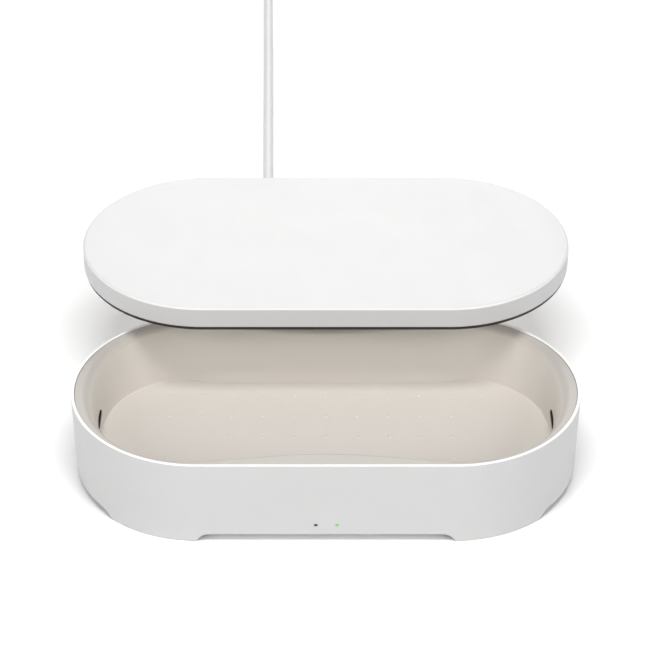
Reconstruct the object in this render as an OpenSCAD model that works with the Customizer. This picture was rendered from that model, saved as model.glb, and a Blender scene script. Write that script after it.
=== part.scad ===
// Oval sanitizer box: a white wall round a beige tub, a lift-off lid, two lamp windows and a lead.
// The origin is the middle of the base, on the table. The lid stands drawn up and back, as when open.

/* [Body] */
// Overall length of the body at its rim
body_len = 244; // [190:1:300]
// Overall width of the body at its rim
body_w = 124.5; // [104:0.5:160]
// Height of the rim above the table
body_h = 45; // [37:0.5:60]
// How far the outer wall leans in between its rim and the table
wall_lean = 1.1; // [0:0.1:2.5]
// Thickness of the outer wall
shell_t = 1.55; // [1.2:0.05:2.4]
// Radius of the rim's outer edge
rim_round = 0.4; // [0.2:0.05:0.6]

/* [Feet] */
// Height of the wall's cut-outs above the table
notch_h = 4.4; // [3.5:0.1:6]
// Half width of the front and rear cut-outs at the table
side_notch_half = 61.3; // [30:0.1:74]
// Half width of the end cut-outs at the table
end_notch_half = 44.9; // [15:0.1:47]
// Slope of a cut-out's flank
notch_slope = 50; // [35:1:75]
// Radius where a flank meets the top of its cut-out
notch_round = 4; // [1:0.5:6]
// Gap between the wall's lower edge and the table
skirt_gap = 0.2; // [0.1:0.1:1]

/* [Tub] */
// Thickness of the tub's wall and floor
tub_t = 2; // [1.5:0.1:2.6]
// Height of the tub's floor above the table
tub_floor_z = 15.5; // [13:0.5:18]
// How far the tub's lip sits below the rim
lip_drop = 0.6; // [0.2:0.1:1.5]
// How far the floor's edge is drawn in at the four corners
corner_inset = 8.6; // [6:0.1:10]
// How far the floor's edge is drawn in at the front and the back
side_inset = 13.8; // [11:0.1:16]
// How far the floor's edge is drawn in at the two ends
end_inset = 10.8; // [9:0.1:14]
// Width of the ledge inside the rim at the four corners
corner_ledge = 3.9; // [3:0.1:5]
// Width of the ledge inside the rim at the front and the back
side_ledge = 11; // [8:0.1:13.5]
// Width of the ledge inside the rim at the two ends
end_ledge = 8.2; // [6:0.1:10]
// Radius of the ledge's inner edge
ledge_round = 2.8; // [1:0.1:2.8]
// Radius of the ledge's inner edge at the two ends
end_ledge_round = 5.8; // [2:0.1:5.8]
// Radius where the wall meets the floor
floor_fillet = 1; // [0.5:0.1:4]

/* [Floor pins] */
// Distance between pins along the tub
pin_pitch_x = 15.7; // [12:0.1:22]
// Distance between pins across the tub
pin_pitch_y = 17.2; // [12:0.1:22]
// Radius of a pin at the floor
pin_r = 0.8; // [0.5:0.1:1.5]
// Height of a pin
pin_h = 0.5; // [0.3:0.1:1]
// Least distance between a pin and the floor's edge
pin_margin = 11; // [6:0.5:16]

/* [Lamps] */
// Length of a lamp window
window_len = 14; // [10:0.5:18]
// Height of a lamp window
window_h = 3; // [2.4:0.1:4]
// Height of a lamp window's middle above the table
window_z = 26; // [22:0.5:30]
// Thickness of a lamp window's pane
pane_t = 3.4; // [3.2:0.1:4.4]
// How far a pane stands out of the tub's end wall
pane_proud = 1.9; // [0.5:0.1:2]
// Width of a lamp board
lamp_board_w = 30; // [22:1:36]
// Height of a lamp board
lamp_board_h = 10; // [7:0.5:12]

/* [Base] */
// Height of the base pan's flange above the table
flange_z = 5.2; // [5:0.1:6.4]
// Thickness of the base pan
pan_t = 1.8; // [1.4:0.1:2.2]
// How far the pan's sunk floor stands in from the rim's outline
plinth_inset = 11; // [9.5:0.5:16]
// Height of the pan's sunk floor above the table
plinth_z = 1.2; // [0.8:0.1:1.8]
// Distance from the rim's outline to the foot ring
foot_inset = 14.5; // [12.5:0.5:20]
// Width of the foot ring
foot_w = 8; // [4:0.5:10]
// Radius of a base screw's shank
screw_r = 1.3; // [1:0.05:1.6]
// Distance of the base screws from the middle, along the box
screw_x = 64; // [54:0.5:75]
// Distance of the base screws from the middle, across the box
screw_y = 28; // [18:0.5:31]

/* [Board] */
// Length of the main board
board_len = 104; // [84:1:108]
// Width of the main board
board_w = 62; // [44:1:70]
// Thickness of the boards
board_t = 1.2; // [1:0.1:1.6]

/* [Front marks] */
// Height of the two marks above the table
mark_z = 10.2; // [8.9:0.1:12]
// Length of a mark
mark_len = 2.1; // [1.6:0.1:3]
// Height of a mark
mark_h = 1.3; // [1:0.1:1.6]
// Distance of the dark mark from the middle
standby_x = -4.8; // [-8:0.1:-3]
// Distance of the green mark from the middle
status_x = 5.4; // [3:0.1:8]

/* [Lid] */
// Thickness of the lid without its gasket
lid_t = 10.7; // [8:0.1:14]
// Thickness of the lid's band
lid_wall = 2; // [1.5:0.1:2.6]
// Radius of the lid's upper edge
lid_round = 1; // [0.5:0.1:1.4]
// Height of the gasket below the lid's band
gasket_h = 2; // [1:0.1:3]
// Width of the gasket
gasket_w = 2.4; // [1.8:0.1:4]
// How far the gasket stands in from the lid's band
gasket_inset = 1; // [0.6:0.1:1.4]
// How far back the open lid stands
lid_back = 91.2; // [0:0.1:150]
// How far the open lid's gasket is above the rim
lid_lift = 13.2; // [0.5:0.1:60]

/* [Magnets] */
// Radius of a magnet
magnet_r = 2.5; // [1.5:0.1:2.8]
// Thickness of a magnet
magnet_t = 2.5; // [1.5:0.1:3]
// Wall of the pocket round a magnet
pocket_wall = 0.9; // [0.6:0.1:1.1]

/* [Lead] */
// Diameter of the lead
cord_d = 5.5; // [4:0.1:6.6]
// Gap between neighbouring turns of the coil
coil_gap = 0.65; // [0.6:0.05:1]
// Radius of the coil's innermost turn
coil_in_r = 23.1; // [20:0.1:30]
// Thickness of the tie's band
tie_t = 0.7; // [0.5:0.1:0.9]
// Width of the tie's band
tie_w = 7; // [4:0.5:10]

/* [Plug] */
// Length of the plug's grip
grip_len = 22; // [16:0.5:30]
// Width of the plug's grip
grip_w = 15.6; // [13:0.1:18]
// Thickness of the plug's grip
grip_h = 8.2; // [6.5:0.1:10]
// Width of the plug's metal shell
tip_w = 12; // [10:0.1:12.5]
// Thickness of the plug's metal shell
tip_h = 4.5; // [4:0.1:5.5]
// Length of the plug's metal shell
tip_len = 12; // [8:0.1:18]
// Wall of the plug's metal shell
tip_wall = 0.35; // [0.25:0.05:0.5]

/* [Hidden] */
$fn = 72;

shell_colour = [0.93, 0.93, 0.92];
tub_colour = [0.88, 0.84, 0.79];
base_colour = [0.82, 0.82, 0.81];
rubber_colour = [0.12, 0.12, 0.12];
board_colour = [0.12, 0.38, 0.24];
steel_colour = [0.75, 0.75, 0.77];
cord_colour = [0.91, 0.91, 0.91];
glass_colour = [0.14, 0.12, 0.16];

fit_gap = 0.15;
over = 1;
half = (body_len - body_w) / 2;
rim_r = body_w / 2;
rim_in_r = rim_r - shell_t;
lip_z = body_h - lip_drop;

// Outer radius of the wall, and its inner radius, at a height
function wall_r(z) = rim_r - wall_lean * (1 - z / body_h);
function wall_in_r(z) = wall_r(z) - shell_t;

// Points along an arc from angle a to angle b
function arc(x, y, r, a, b, steps = 6) =
  [for (i = [0:steps]) [x + r * cos(a + (b - a) * i / steps), y + r * sin(a + (b - a) * i / steps)]];

function unit(v) = v / norm(v);
function mix(a, b, t) = a + (b - a) * t;
function ease(t) = let (u = min(1, max(0, t))) u * u * (3 - 2 * u);

// The lead's way over the table, as x, y and the height of its underside
route = [
  [-30, 88, 10.25], [-30.1, 100, 9.85], [-30.3, 112, 8.4], [-30.5, 124, 6.1], [-30.7, 136, 3.7],
  [-31, 148, 1.7], [-31.2, 160, 0.5], [-31.5, 172, 0.1], [-31.8, 187, 0.1], [-32, 202, 0.1],
  [-32.3, 217, 0.1], [-32.5, 232, 0.1], [-32.8, 247, 0.1], [-33, 262, 0.1], [-33.3, 277, 0.1],
  [-33.6, 292, 0.1], [-33.8, 307, 0.1], [-34.1, 322, 0.1], [-34.4, 337, 0.1], [-34.6, 352, 0.1],
  [-34.9, 367, 0.1], [-35.2, 382, 0.1], [-35.4, 397, 0.1], [-35.7, 412, 0.1], [-36, 427, 0.1],
  [-36.3, 442, 0.1], [-36.6, 457, 0.1], [-36.9, 472, 0.1], [-37.2, 487, 0.2], [-37.5, 502, 0.4],
  [-37.8, 517, 0.7], [-38, 532, 1], [-38, 547, 1.05], [-38, 555, 1.05],
];
cord_path = [for (p = route) [p[0], p[1], p[2] + cord_d / 2]];
outlet = cord_path[0];

// Carries a profile of radius and height round the oval: two half turns and two straight runs
module around() {
  for (side = [-1, 1])
    translate([side * half, 0, 0])
      rotate([0, 0, side > 0 ? -90 : 90])
        rotate_extrude(angle = 180)
          children();
  for (turn = [0, 180])
    rotate([0, 0, turn])
      translate([-half, 0, 0])
        rotate([90, 0, 90])
          linear_extrude(2 * half)
            children();
}

// A bar with round ends, its length along X and its thickness upwards
module slot_plate(length, width, thickness) {
  for (side = [-1, 1])
    translate([side * (length - width) / 2, 0, 0])
      cylinder(h = thickness, d = width);
  translate([-(length - width) / 2, -width / 2, 0])
    cube([length - width, width, thickness]);
}

// Stands a bar with round ends on the front wall, from depth near to depth far
module front_slot(x, z, length, height, near, far) {
  translate([x, near, z])
    rotate([-90, 0, 0])
      slot_plate(length, height, far - near);
}

// Outer wall
function notch_outline(half_w) =
  let (
    bottom = -over,
    run = (notch_h - bottom) / tan(notch_slope),
    corner = half_w + over / tan(notch_slope) - run,
    reach = notch_round * tan(notch_slope / 2)
  )
  concat(
    [[-corner - run, bottom], [corner + run, bottom]],
    arc(corner - reach, notch_h - notch_round, notch_round, 90 - notch_slope, 90),
    arc(reach - corner, notch_h - notch_round, notch_round, 90, 90 + notch_slope)
  );

module notch(half_w, length) {
  rotate([90, 0, 0])
    linear_extrude(length, center = true)
      polygon(notch_outline(half_w));
}

module outer_shell() color(shell_colour)
  difference() {
    around()
      polygon(concat(
        [
          [wall_in_r(skirt_gap), skirt_gap],
          [wall_r(skirt_gap), skirt_gap],
        ],
        arc(rim_r - rim_round, body_h - rim_round, rim_round, 0, 90, 4),
        [[rim_in_r, body_h]]
      ));
    notch(side_notch_half, 2 * body_w);
    rotate([0, 0, 90])
      notch(end_notch_half, 2 * body_len);
    for (x = [standby_x, status_x])
      front_slot(x, mark_z, mark_len, mark_h, -rim_r - over, -rim_in_r + wall_lean + over);
    translate([outlet[0], rim_in_r - wall_lean - over, outlet[2]])
      rotate([-90, 0, 0])
        cylinder(h = shell_t + wall_lean + 2 * over, r = neck_r);
  }

// Tub: stations round the oval, each its place on the middle line and the way outwards
arc_steps = 36;
line_steps = 16;
stations = [
  for (side = [1, -1]) each concat(
    [for (i = [0:arc_steps - 1]) let (a = -90 * side + 180 * i / arc_steps) [side * half, cos(a), sin(a)]],
    [for (i = [0:line_steps - 1]) [side * half * (1 - 2 * i / line_steps), 0, side]]
  )
];
station_count = len(stations);
lip_inset = fit_gap;
ledge_fall = 0.4;
side_fade_in = 10;
side_fade_out = 28;
ledge_fade_out = 18;
end_floor_full = 4;
end_floor_gone = 44;
end_ledge_full = 5;
end_ledge_gone = 50;

// How strongly a bulge shows at a distance from its middle
function bulge(distance, full, gone) = ease((gone - abs(distance)) / (gone - full));
function at_x(s) = s[0] + s[1] * rim_in_r;
function at_y(s) = s[2] * rim_in_r;

// Inset of the floor's edge, width of the ledge and radius of its edge, at a station
function floor_inset(s) =
  corner_inset
  + (side_inset - corner_inset) * bulge(at_x(s), half - side_fade_in, half + side_fade_out)
  + (end_inset - corner_inset) * bulge(at_y(s), end_floor_full, end_floor_gone) * (s[1] == 0 ? 0 : 1);
function ledge_width(s) =
  corner_ledge
  + (side_ledge - corner_ledge) * bulge(at_x(s), 0, half + ledge_fade_out)
  + (end_ledge - corner_ledge) * bulge(at_y(s), end_ledge_full, end_ledge_gone) * (s[1] == 0 ? 0 : 1);
function ledge_edge(s) =
  ledge_round
  + (end_ledge_round - ledge_round) * bulge(at_y(s), end_ledge_full, end_ledge_gone) * (s[1] == 0 ? 0 : 1);

// One section of the tub at a station, as inset and height, from the floor over the lip and down outside
function tub_section(s) =
  let (
    foot = floor_inset(s),
    ledge = ledge_width(s),
    r = ledge_edge(s),
    ledge_z = lip_z - ledge_fall,
    bend = max(r, tub_t + 0.2),
    back_r = bend - tub_t
  )
  concat(
    [for (b = [90:-30:0]) [foot + floor_fillet * (1 - cos(b)), tub_floor_z + floor_fillet * (1 - sin(b))]],
    [for (b = [90:-18:0]) [ledge - r * (1 - sin(b)), ledge_z - r * (1 - cos(b))]],
    [[lip_inset, lip_z], [lip_inset, lip_z - tub_t]],
    [for (b = [0:30:90]) [ledge - bend + back_r * sin(b), ledge_z - bend + back_r * cos(b)]],
    [[foot - tub_t, tub_floor_z - tub_t]]
  );

function on_tub(s, place) =
  [s[0] + s[1] * (rim_in_r - place[0]), s[2] * (rim_in_r - place[0]), place[1]];

// Inset of the tub's inner wall at a height, at the middle of an end
function end_wall_inset(z) =
  let (top = lip_z - ledge_fall - end_ledge_round, low = tub_floor_z + floor_fillet)
  mix(end_inset, end_ledge, min(1, max(0, (z - low) / (top - low))));
function end_wall_x(z, y = 0) = half + sqrt(pow(rim_in_r - end_wall_inset(z), 2) - y * y);

module tub_skin() {
  sections = [for (s = stations) tub_section(s)];
  rings = len(sections[0]);
  last = station_count * rings;
  points = concat(
    [for (k = [0:rings - 1]) for (j = [0:station_count - 1]) on_tub(stations[j], sections[j][k])],
    [[0, 0, tub_floor_z], [0, 0, tub_floor_z - tub_t]]
  );
  sides = [
    for (k = [0:rings - 2]) for (j = [0:station_count - 1])
      let (
        n = (j + 1) % station_count,
        a = k * station_count + j,
        b = k * station_count + n,
        c = a + station_count,
        d = b + station_count
      )
      each [[a, b, d], [a, d, c]]
  ];
  floors = [
    for (j = [0:station_count - 1])
      let (n = (j + 1) % station_count, low = (rings - 1) * station_count)
      each [[j, last, n], [low + j, low + n, last + 1]]
  ];
  polyhedron(points, concat(sides, floors), convexity = 6);
}

pin_rows = floor((rim_in_r - side_inset - pin_margin) / pin_pitch_y);

// Farthest pin on a row: a whole pitch inside the floor's corner arcs and its end bulge
function row_reach(y) =
  let (r = rim_in_r - corner_inset - pin_margin)
  min(half + sqrt(max(0, r * r - y * y)), half + rim_in_r - end_inset - pin_margin);

module floor_pins() {
  for (row = [-pin_rows:pin_rows])
    let (y = row * pin_pitch_y, count = floor(row_reach(y) / pin_pitch_x))
      for (column = [-count:count])
        translate([column * pin_pitch_x, y, tub_floor_z - pin_h])
          cylinder(h = 2 * pin_h, r1 = pin_r * 1.4, r2 = pin_r * 0.6, $fn = 16);
}

boss_r = screw_r + 2.2;
boss_low_z = plinth_z + pan_t + 2;
pilot_r = screw_r - 0.15;
screw_len = 8;

module at_screws() {
  for (sx = [-1, 1])
    for (sy = [-1, 1])
      translate([sx * screw_x, sy * screw_y, 0])
        children();
}

magnet_y = rim_in_r - side_ledge / 2 + 0.6;
magnet_x = 9;
magnet_fit = 0.05;
magnet_z = lip_z - ledge_fall - tub_t - magnet_t;

module at_magnets() {
  for (side = [-1, 1])
    translate([-magnet_x, side * magnet_y, 0])
      children();
}

sensor_w = 4;
sensor_t = 1.6;
sensor_z = lip_z - ledge_fall - tub_t;

lamp_post_r = 1.4;
pane_x = end_wall_x(window_z) - pane_proud;
lamp_t = 1.4;
lamp_w = 2.8;
lamp_apart = 8;
lamp_board_x = pane_x + pane_t + lamp_t;
lamp_post_y = lamp_board_w / 2 - 2;

module inner_tub() color(tub_colour)
  difference() {
    union() {
      tub_skin();
      floor_pins();
      at_screws()
        translate([0, 0, boss_low_z])
          cylinder(h = tub_floor_z - tub_t / 2 - boss_low_z, r = boss_r);
      at_magnets()
        translate([0, 0, magnet_z])
          cylinder(h = magnet_t + tub_t / 2, r = magnet_r + pocket_wall);
      for (side = [-1, 1])
        for (y = [-lamp_post_y, lamp_post_y])
          translate([side * lamp_board_x, y, window_z])
            rotate([0, -90 * side, 0])
              cylinder(h = lamp_board_x - end_wall_x(window_z, lamp_post_y) - tub_t / 2, r = lamp_post_r);
      translate([-sensor_w / 2 - 0.5, -magnet_y - sensor_w / 2, sensor_z])
        cube([sensor_w + 1, sensor_w, tub_t / 2 + ledge_fall]);
    }
    at_screws()
      translate([0, 0, boss_low_z - over])
        cylinder(h = screw_len, r = pilot_r);
    at_magnets()
      translate([0, 0, magnet_z - over])
        cylinder(h = magnet_t + over, r = magnet_r + magnet_fit);
    for (side = [-1, 1])
      translate([side * (end_wall_x(window_z) - 3), 0, window_z])
        rotate([0, 90 * side, 0])
          rotate([0, 0, 90])
            slot_plate(window_len, window_h, 8);
  }

// Base
pan_r = wall_in_r(flange_z) - 0.25;
plinth_r = rim_r - plinth_inset;
plinth_slope = 1.5;
groove_t = 0.8;
foot_out_r = rim_r - foot_inset;
foot_in_r = foot_out_r - foot_w;
counterbore_r = screw_r * 2 + 0.2;
standoff_r = 2.2;
board_z = plinth_z + pan_t + 2.2;

module at_board_corners() {
  for (sx = [-1, 1])
    for (sy = [-1, 1])
      translate([sx * (board_len / 2 - 3.5), sy * (board_w / 2 - 3.5), 0])
        children();
}

module base_pan() color(base_colour)
  difference() {
    union() {
      around()
        polygon([
          [0, plinth_z],
          [plinth_r - plinth_slope, plinth_z],
          [plinth_r, flange_z],
          [pan_r, flange_z],
          [pan_r, flange_z + pan_t],
          [plinth_r - pan_t, flange_z + pan_t],
          [plinth_r - pan_t - plinth_slope, plinth_z + pan_t],
          [0, plinth_z + pan_t],
        ]);
      at_screws()
        translate([0, 0, plinth_z + pan_t / 2])
          cylinder(h = boss_low_z - plinth_z - pan_t / 2, r = counterbore_r + 1.4);
      at_board_corners()
        translate([0, 0, plinth_z + pan_t / 2])
          cylinder(h = board_z - plinth_z - pan_t / 2, r = standoff_r);
    }
    around()
      translate([foot_in_r - fit_gap, plinth_z - over])
        square([foot_w + 2 * fit_gap, groove_t + over]);
    at_screws() {
      translate([0, 0, plinth_z - over])
        cylinder(h = boss_low_z - plinth_z + 2 * over, r = screw_r + 0.2);
      translate([0, 0, plinth_z - over])
        cylinder(h = over + screw_head_z, r = counterbore_r);
    }
  }

screw_head_z = 1.9;
screw_head_t = 1.4;

module foot_ring() color(rubber_colour)
  around()
    polygon(concat(
      arc(foot_out_r - 0.5, 0.5, 0.5, -90, 0, 4),
      [[foot_out_r, plinth_z + groove_t], [foot_in_r, plinth_z + groove_t]],
      arc(foot_in_r + 0.5, 0.5, 0.5, 180, 270, 4)
    ));

module base_screws() color(steel_colour)
  at_screws()
    difference() {
      union() {
        translate([0, 0, plinth_z + screw_head_z - screw_head_t])
          cylinder(h = screw_head_t, r = counterbore_r - 0.25);
        translate([0, 0, plinth_z + screw_head_z - 0.5])
          cylinder(h = screw_len, r = pilot_r - 0.03);
      }
      translate([0, 0, plinth_z + screw_head_z - screw_head_t - over])
        cylinder(h = over + 0.7, r = screw_r * 0.8, $fn = 6);
    }

// Electronics: the board, its parts, the board behind the front marks and the two marks
module main_board() color(board_colour)
  difference() {
    translate([-board_len / 2, -board_w / 2, board_z])
      cube([board_len, board_w, board_t]);
    at_board_corners()
      translate([0, 0, board_z - over])
        cylinder(h = board_t + 2 * over, r = 1.1);
  }

chips = [
  [-30, 12, 12, 12, 1.2],
  [-6, -4, 9, 9, 1],
  [14, 14, 7, 5, 1.5],
  [16, -12, 14, 8, 2.6],
  [-28, -14, 10, 6, 2.2],
  [34, 10, 6, 10, 1.4],
];
chip_colour = [0.16, 0.16, 0.17];
can_r = 2.5;
can_h = 3;

module board_parts() color(chip_colour) {
  for (c = chips)
    translate([c[0] - c[2] / 2, c[1] - c[3] / 2, board_z + board_t])
      cube([c[2], c[3], c[4]]);
  for (x = [2, 40])
    translate([x, -board_w / 2 + 8, board_z + board_t])
      cylinder(h = can_h, r = can_r);
}

light_depth = 3;
indicator_len = 18;
indicator_h = 7.4;
front_in_y = -wall_in_r(mark_z);
indicator_y = -wall_r(mark_z) + light_depth;

module indicator_board() color(board_colour)
  translate([-indicator_len / 2, indicator_y, flange_z + pan_t])
    cube([indicator_len, board_t, indicator_h]);

module front_light(x) {
  intersection() {
    union() {
      front_slot(x, mark_z, mark_len - 0.1, mark_h - 0.1, -rim_r, indicator_y);
      front_slot(x, mark_z, mark_len + 1, mark_h + 1, front_in_y + 0.1, indicator_y);
    }
    around()
      polygon([[0, 0], [wall_r(0), 0], [rim_r, body_h], [0, body_h]]);
  }
}

module status_light() color([0.35, 0.9, 0.35])
  front_light(status_x);

module standby_light() color([0.1, 0.1, 0.1])
  front_light(standby_x);

module lid_sensor() color(chip_colour)
  translate([-sensor_w / 2, -magnet_y - sensor_w / 2 + 0.5, sensor_z - sensor_t])
    cube([sensor_w, sensor_w - 1, sensor_t]);

// Lamp boards, lamps and panes at the two ends
module lamp_board(side) color(board_colour)
  translate([side * (lamp_board_x + board_t / 2), 0, window_z])
    cube([board_t, lamp_board_w, lamp_board_h], center = true);

module lamps(side) color([0.95, 0.9, 0.6])
  for (y = [-lamp_apart / 2, lamp_apart / 2])
    translate([side * (pane_x + pane_t + lamp_t / 2), y, window_z])
      cube([lamp_t, lamp_w, lamp_w], center = true);

module pane(side) color(glass_colour)
  translate([side * pane_x, 0, window_z])
    rotate([0, 90 * side, 0])
      rotate([0, 0, 90])
        slot_plate(window_len - 2 * fit_gap, window_h - 2 * fit_gap, pane_t);

module uv_board_left() lamp_board(-1);
module uv_board_right() lamp_board(1);
module uv_lamps_left() lamps(-1);
module uv_lamps_right() lamps(1);
module uv_window_left() pane(-1);
module uv_window_right() pane(1);

module body_magnets() color(steel_colour)
  at_magnets()
    translate([0, 0, magnet_z])
      cylinder(h = magnet_t, r = magnet_r);

// Tubes swept along points, square to their path, with flat ends
function heading(path, i) = unit(path[i + 1] - path[i - 1]);

function tube_ring(centre, along, r, sides) =
  let (across = unit(cross(along, abs(along[2]) > 0.9 ? [1, 0, 0] : [0, 0, 1])), rise = cross(across, along))
  [for (k = [0:sides - 1]) centre + r * (cos(360 * k / sides) * across + sin(360 * k / sides) * rise)];

module tube(path, r, sides, first, last) {
  count = len(path);
  points = [
    for (i = [0:count - 1])
      each tube_ring(path[i], i == 0 ? first : i == count - 1 ? last : heading(path, i), r, sides)
  ];
  walls = [
    for (i = [0:count - 2]) for (k = [0:sides - 1])
      let (a = i * sides + k, b = i * sides + (k + 1) % sides)
      each [[a, a + sides, b + sides], [a, b + sides, b]]
  ];
  polyhedron(
    points,
    concat(walls, [[for (k = [0:sides - 1]) k], [for (k = [sides - 1:-1:0]) (count - 1) * sides + k]]),
    convexity = 8
  );
}

lead_r = 1.1;
lead_top_z = window_z - lamp_board_h / 2;
lead_run_z = 9.6;

function lamp_lead(side) =
  let (x = lamp_board_x + board_t / 2, end_x = board_len / 2 - 4)
  [
    [side * x, -6, lead_top_z],
    [side * x, -6, lead_top_z - 2],
    [side * x, -6, 14],
    [side * (x - 1.2), -6.4, 11],
    [side * (x - 4.5), -7.5, lead_run_z],
    [side * mix(x, end_x, 0.4), -10, lead_run_z],
    [side * mix(x, end_x, 0.7), -13, lead_run_z],
    [side * (end_x + 4), -15, lead_run_z],
    [side * (end_x + 1), -15.5, lead_run_z - 0.6],
    [side * end_x, -15.6, board_z + board_t + 1],
    [side * end_x, -15.6, board_z + board_t],
  ];

relief_y = wall_r(outlet[2]);
supply_lead = [
  [outlet[0], relief_y - shell_t - 2, outlet[2]],
  [outlet[0], relief_y - shell_t - 3.2, outlet[2]],
  [outlet[0], relief_y - shell_t - 6, lead_run_z + 1],
  [outlet[0], relief_y - shell_t - 9, lead_run_z],
  [outlet[0], board_w / 2 + 2, lead_run_z],
  [outlet[0], board_w / 2 - 3, lead_run_z - 0.6],
  [outlet[0], board_w / 2 - 4.4, board_z + board_t + 1],
  [outlet[0], board_w / 2 - 4.4, board_z + board_t],
];

module internal_leads() color([0.7, 0.2, 0.2]) {
  for (side = [-1, 1])
    tube(lamp_lead(side), lead_r, 8, first = [0, 0, -1], last = [0, 0, -1]);
  tube(supply_lead, lead_r, 8, first = [0, -1, 0], last = [0, 0, -1]);
}

// Lead: outlet, free stretch, coil, tie and plug
neck_r = cord_d / 2 + 1.4;
collar_r = neck_r + 1.6;
tip_r = cord_d / 2 + 0.5;
collar_t = 2;
relief_len = outlet[1] - relief_y;
rib_pitch = 3.8;
ribs = max(0, floor((relief_len - collar_t - 4) / rib_pitch));
function relief_r(d) = mix(neck_r + 0.3, tip_r, (d - collar_t) / (relief_len - collar_t));

module strain_relief() color(cord_colour)
  translate([outlet[0], relief_y, outlet[2]])
    rotate([-90, 0, 0])
      rotate_extrude()
        polygon(concat(
          [
            [0, -shell_t - 2],
            [collar_r, -shell_t - 2],
            [collar_r, -shell_t - fit_gap],
            [neck_r - 0.05, -shell_t - fit_gap],
            [neck_r - 0.05, fit_gap],
            [collar_r, fit_gap],
            [collar_r - 0.4, collar_t],
          ],
          [
            for (i = [0:ribs - 1])
              let (d = collar_t + i * rib_pitch)
              each [
                [relief_r(d), d],
                [relief_r(d + 1.2) - 0.7, d + 0.5],
                [relief_r(d + 1.2) - 0.7, d + 1.6],
                [relief_r(d + 2.1), d + 2.1],
              ]
          ],
          [[tip_r, relief_len], [0, relief_len]]
        ));

coil_start = cord_path[len(route) - 1];

coil_pitch = cord_d + coil_gap;
layer_turns = 2.25;
climb_turns = 0.5;
ramp_turns = 0.4;
coil_out_r = coil_in_r + layer_turns * coil_pitch;
coil_centre = [coil_start[0] + coil_out_r, coil_start[1] + cord_d];
climb_end = layer_turns + climb_turns;
ramp_start = climb_end + layer_turns;
coil_turns = ramp_start + ramp_turns;
rings_per_turn = 24;
coil_rings = round(coil_turns * rings_per_turn);

// The coil spirals in, climbs a layer where it turns back, spirals out and rolls down beside its first turn
function coil_r(u) =
  u <= layer_turns ? coil_out_r - coil_pitch * u
  : u <= climb_end ? let (t = u - layer_turns) coil_in_r - coil_pitch * t + 2 * coil_pitch * t * t
  : u <= ramp_start ? coil_in_r + coil_pitch * (u - climb_end)
  : coil_out_r - coil_pitch * (u - ramp_start) + coil_pitch * sin(90 * ease((u - ramp_start) / ramp_turns));
function coil_rise(u) =
  u <= layer_turns ? 0
  : u <= climb_end ? coil_pitch * ease((u - layer_turns) / climb_turns)
  : u <= ramp_start ? coil_pitch
  : let (t = ease((u - ramp_start) / ramp_turns))
    coil_pitch * cos(90 * t) + (grip_h / 2 - coil_start[2]) * t;
function coil_point(u) =
  let (a = 180 - 360 * u)
  [coil_centre[0] + coil_r(u) * cos(a), coil_centre[1] + coil_r(u) * sin(a), coil_start[2] + coil_rise(u)];

coil_line = [for (i = [0:coil_rings]) coil_point(coil_turns * i / coil_rings)];
coil_heading_angle = 90 - 360 * coil_turns;
coil_heading = [cos(coil_heading_angle), sin(coil_heading_angle), 0];
coil_end = coil_line[coil_rings] + cord_d * coil_heading;
coil_path = concat([coil_start], coil_line, [coil_end]);

function path_length(path) =
  let (steps = [for (i = [1:len(path) - 1]) norm(path[i] - path[i - 1])])
  steps * [for (step = steps) 1];
coil_least_gap = min([
  for (i = [0:coil_rings]) for (j = [i + rings_per_turn / 2:1:coil_rings]) norm(coil_line[i] - coil_line[j])
]) - cord_d;
cord_length = path_length(cord_path) + path_length(coil_path);
echo(coil_least_gap = coil_least_gap, cord_length = cord_length);

module power_cord() color(cord_colour)
  tube(cord_path, cord_d / 2, 12, first = [0, 1, 0], last = [0, 1, 0]);

module cord_coil() color(cord_colour)
  tube(coil_path, cord_d / 2, 6, first = [0, 1, 0], last = coil_heading);

// The tie goes round the turns on the coil's near side
tie_gap = 0.35;
tie_in_r = coil_in_r - coil_pitch / 8 - cord_d / 2 - tie_gap;
tie_out_r = coil_out_r + cord_d / 2 + tie_gap;
tie_low_z = coil_start[2] - cord_d / 2 - tie_gap;
tie_top_z = coil_start[2] + coil_pitch + cord_d / 2 + tie_gap;

module tie_outline(grow) {
  translate([-tie_out_r - grow, tie_low_z - grow])
    square([tie_out_r - tie_in_r + 2 * grow, tie_top_z - tie_low_z + 2 * grow]);
}

module cord_tie() color(rubber_colour)
  translate([coil_centre[0] - tie_w / 2, coil_centre[1], 0])
    rotate([90, 0, 90])
      linear_extrude(tie_w)
        difference() {
          tie_outline(tie_t);
          tie_outline(0);
        }

// Plug, drawn from the lead's end along +X
module at_plug() {
  translate(coil_end)
    rotate([0, 0, coil_heading_angle])
      children();
}

boot_len = 9;
grip_round = 3;

module plug_body() color(cord_colour)
  at_plug() {
    rotate([0, 90, 0])
      cylinder(h = boot_len, r1 = cord_d / 2 + 0.3, r2 = grip_h / 2 - 0.4);
    translate([boot_len, 0, 0])
      rotate([90, 0, 90])
        linear_extrude(grip_len)
          union() {
            square([grip_w - 2 * grip_round, grip_h], center = true);
            square([grip_w, grip_h - 2 * grip_round], center = true);
            for (sx = [-1, 1])
              for (sy = [-1, 1])
                translate([sx * (grip_w / 2 - grip_round), sy * (grip_h / 2 - grip_round)])
                  circle(grip_round);
          }
  }

module plug_shell() color(steel_colour)
  at_plug()
    translate([boot_len + grip_len, 0, 0])
      difference() {
        translate([0, -tip_w / 2, -tip_h / 2])
          cube([tip_len, tip_w, tip_h]);
        translate([-over, -tip_w / 2 + tip_wall, -tip_h / 2 + tip_wall])
          cube([tip_len + 2 * over, tip_w - 2 * tip_wall, tip_h - 2 * tip_wall]);
        for (sy = [-1, 1])
          translate([tip_len * 0.45, sy * tip_w * 0.22 - 1, -tip_h])
            cube([2, 2, 2 * tip_h]);
      }

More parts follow.
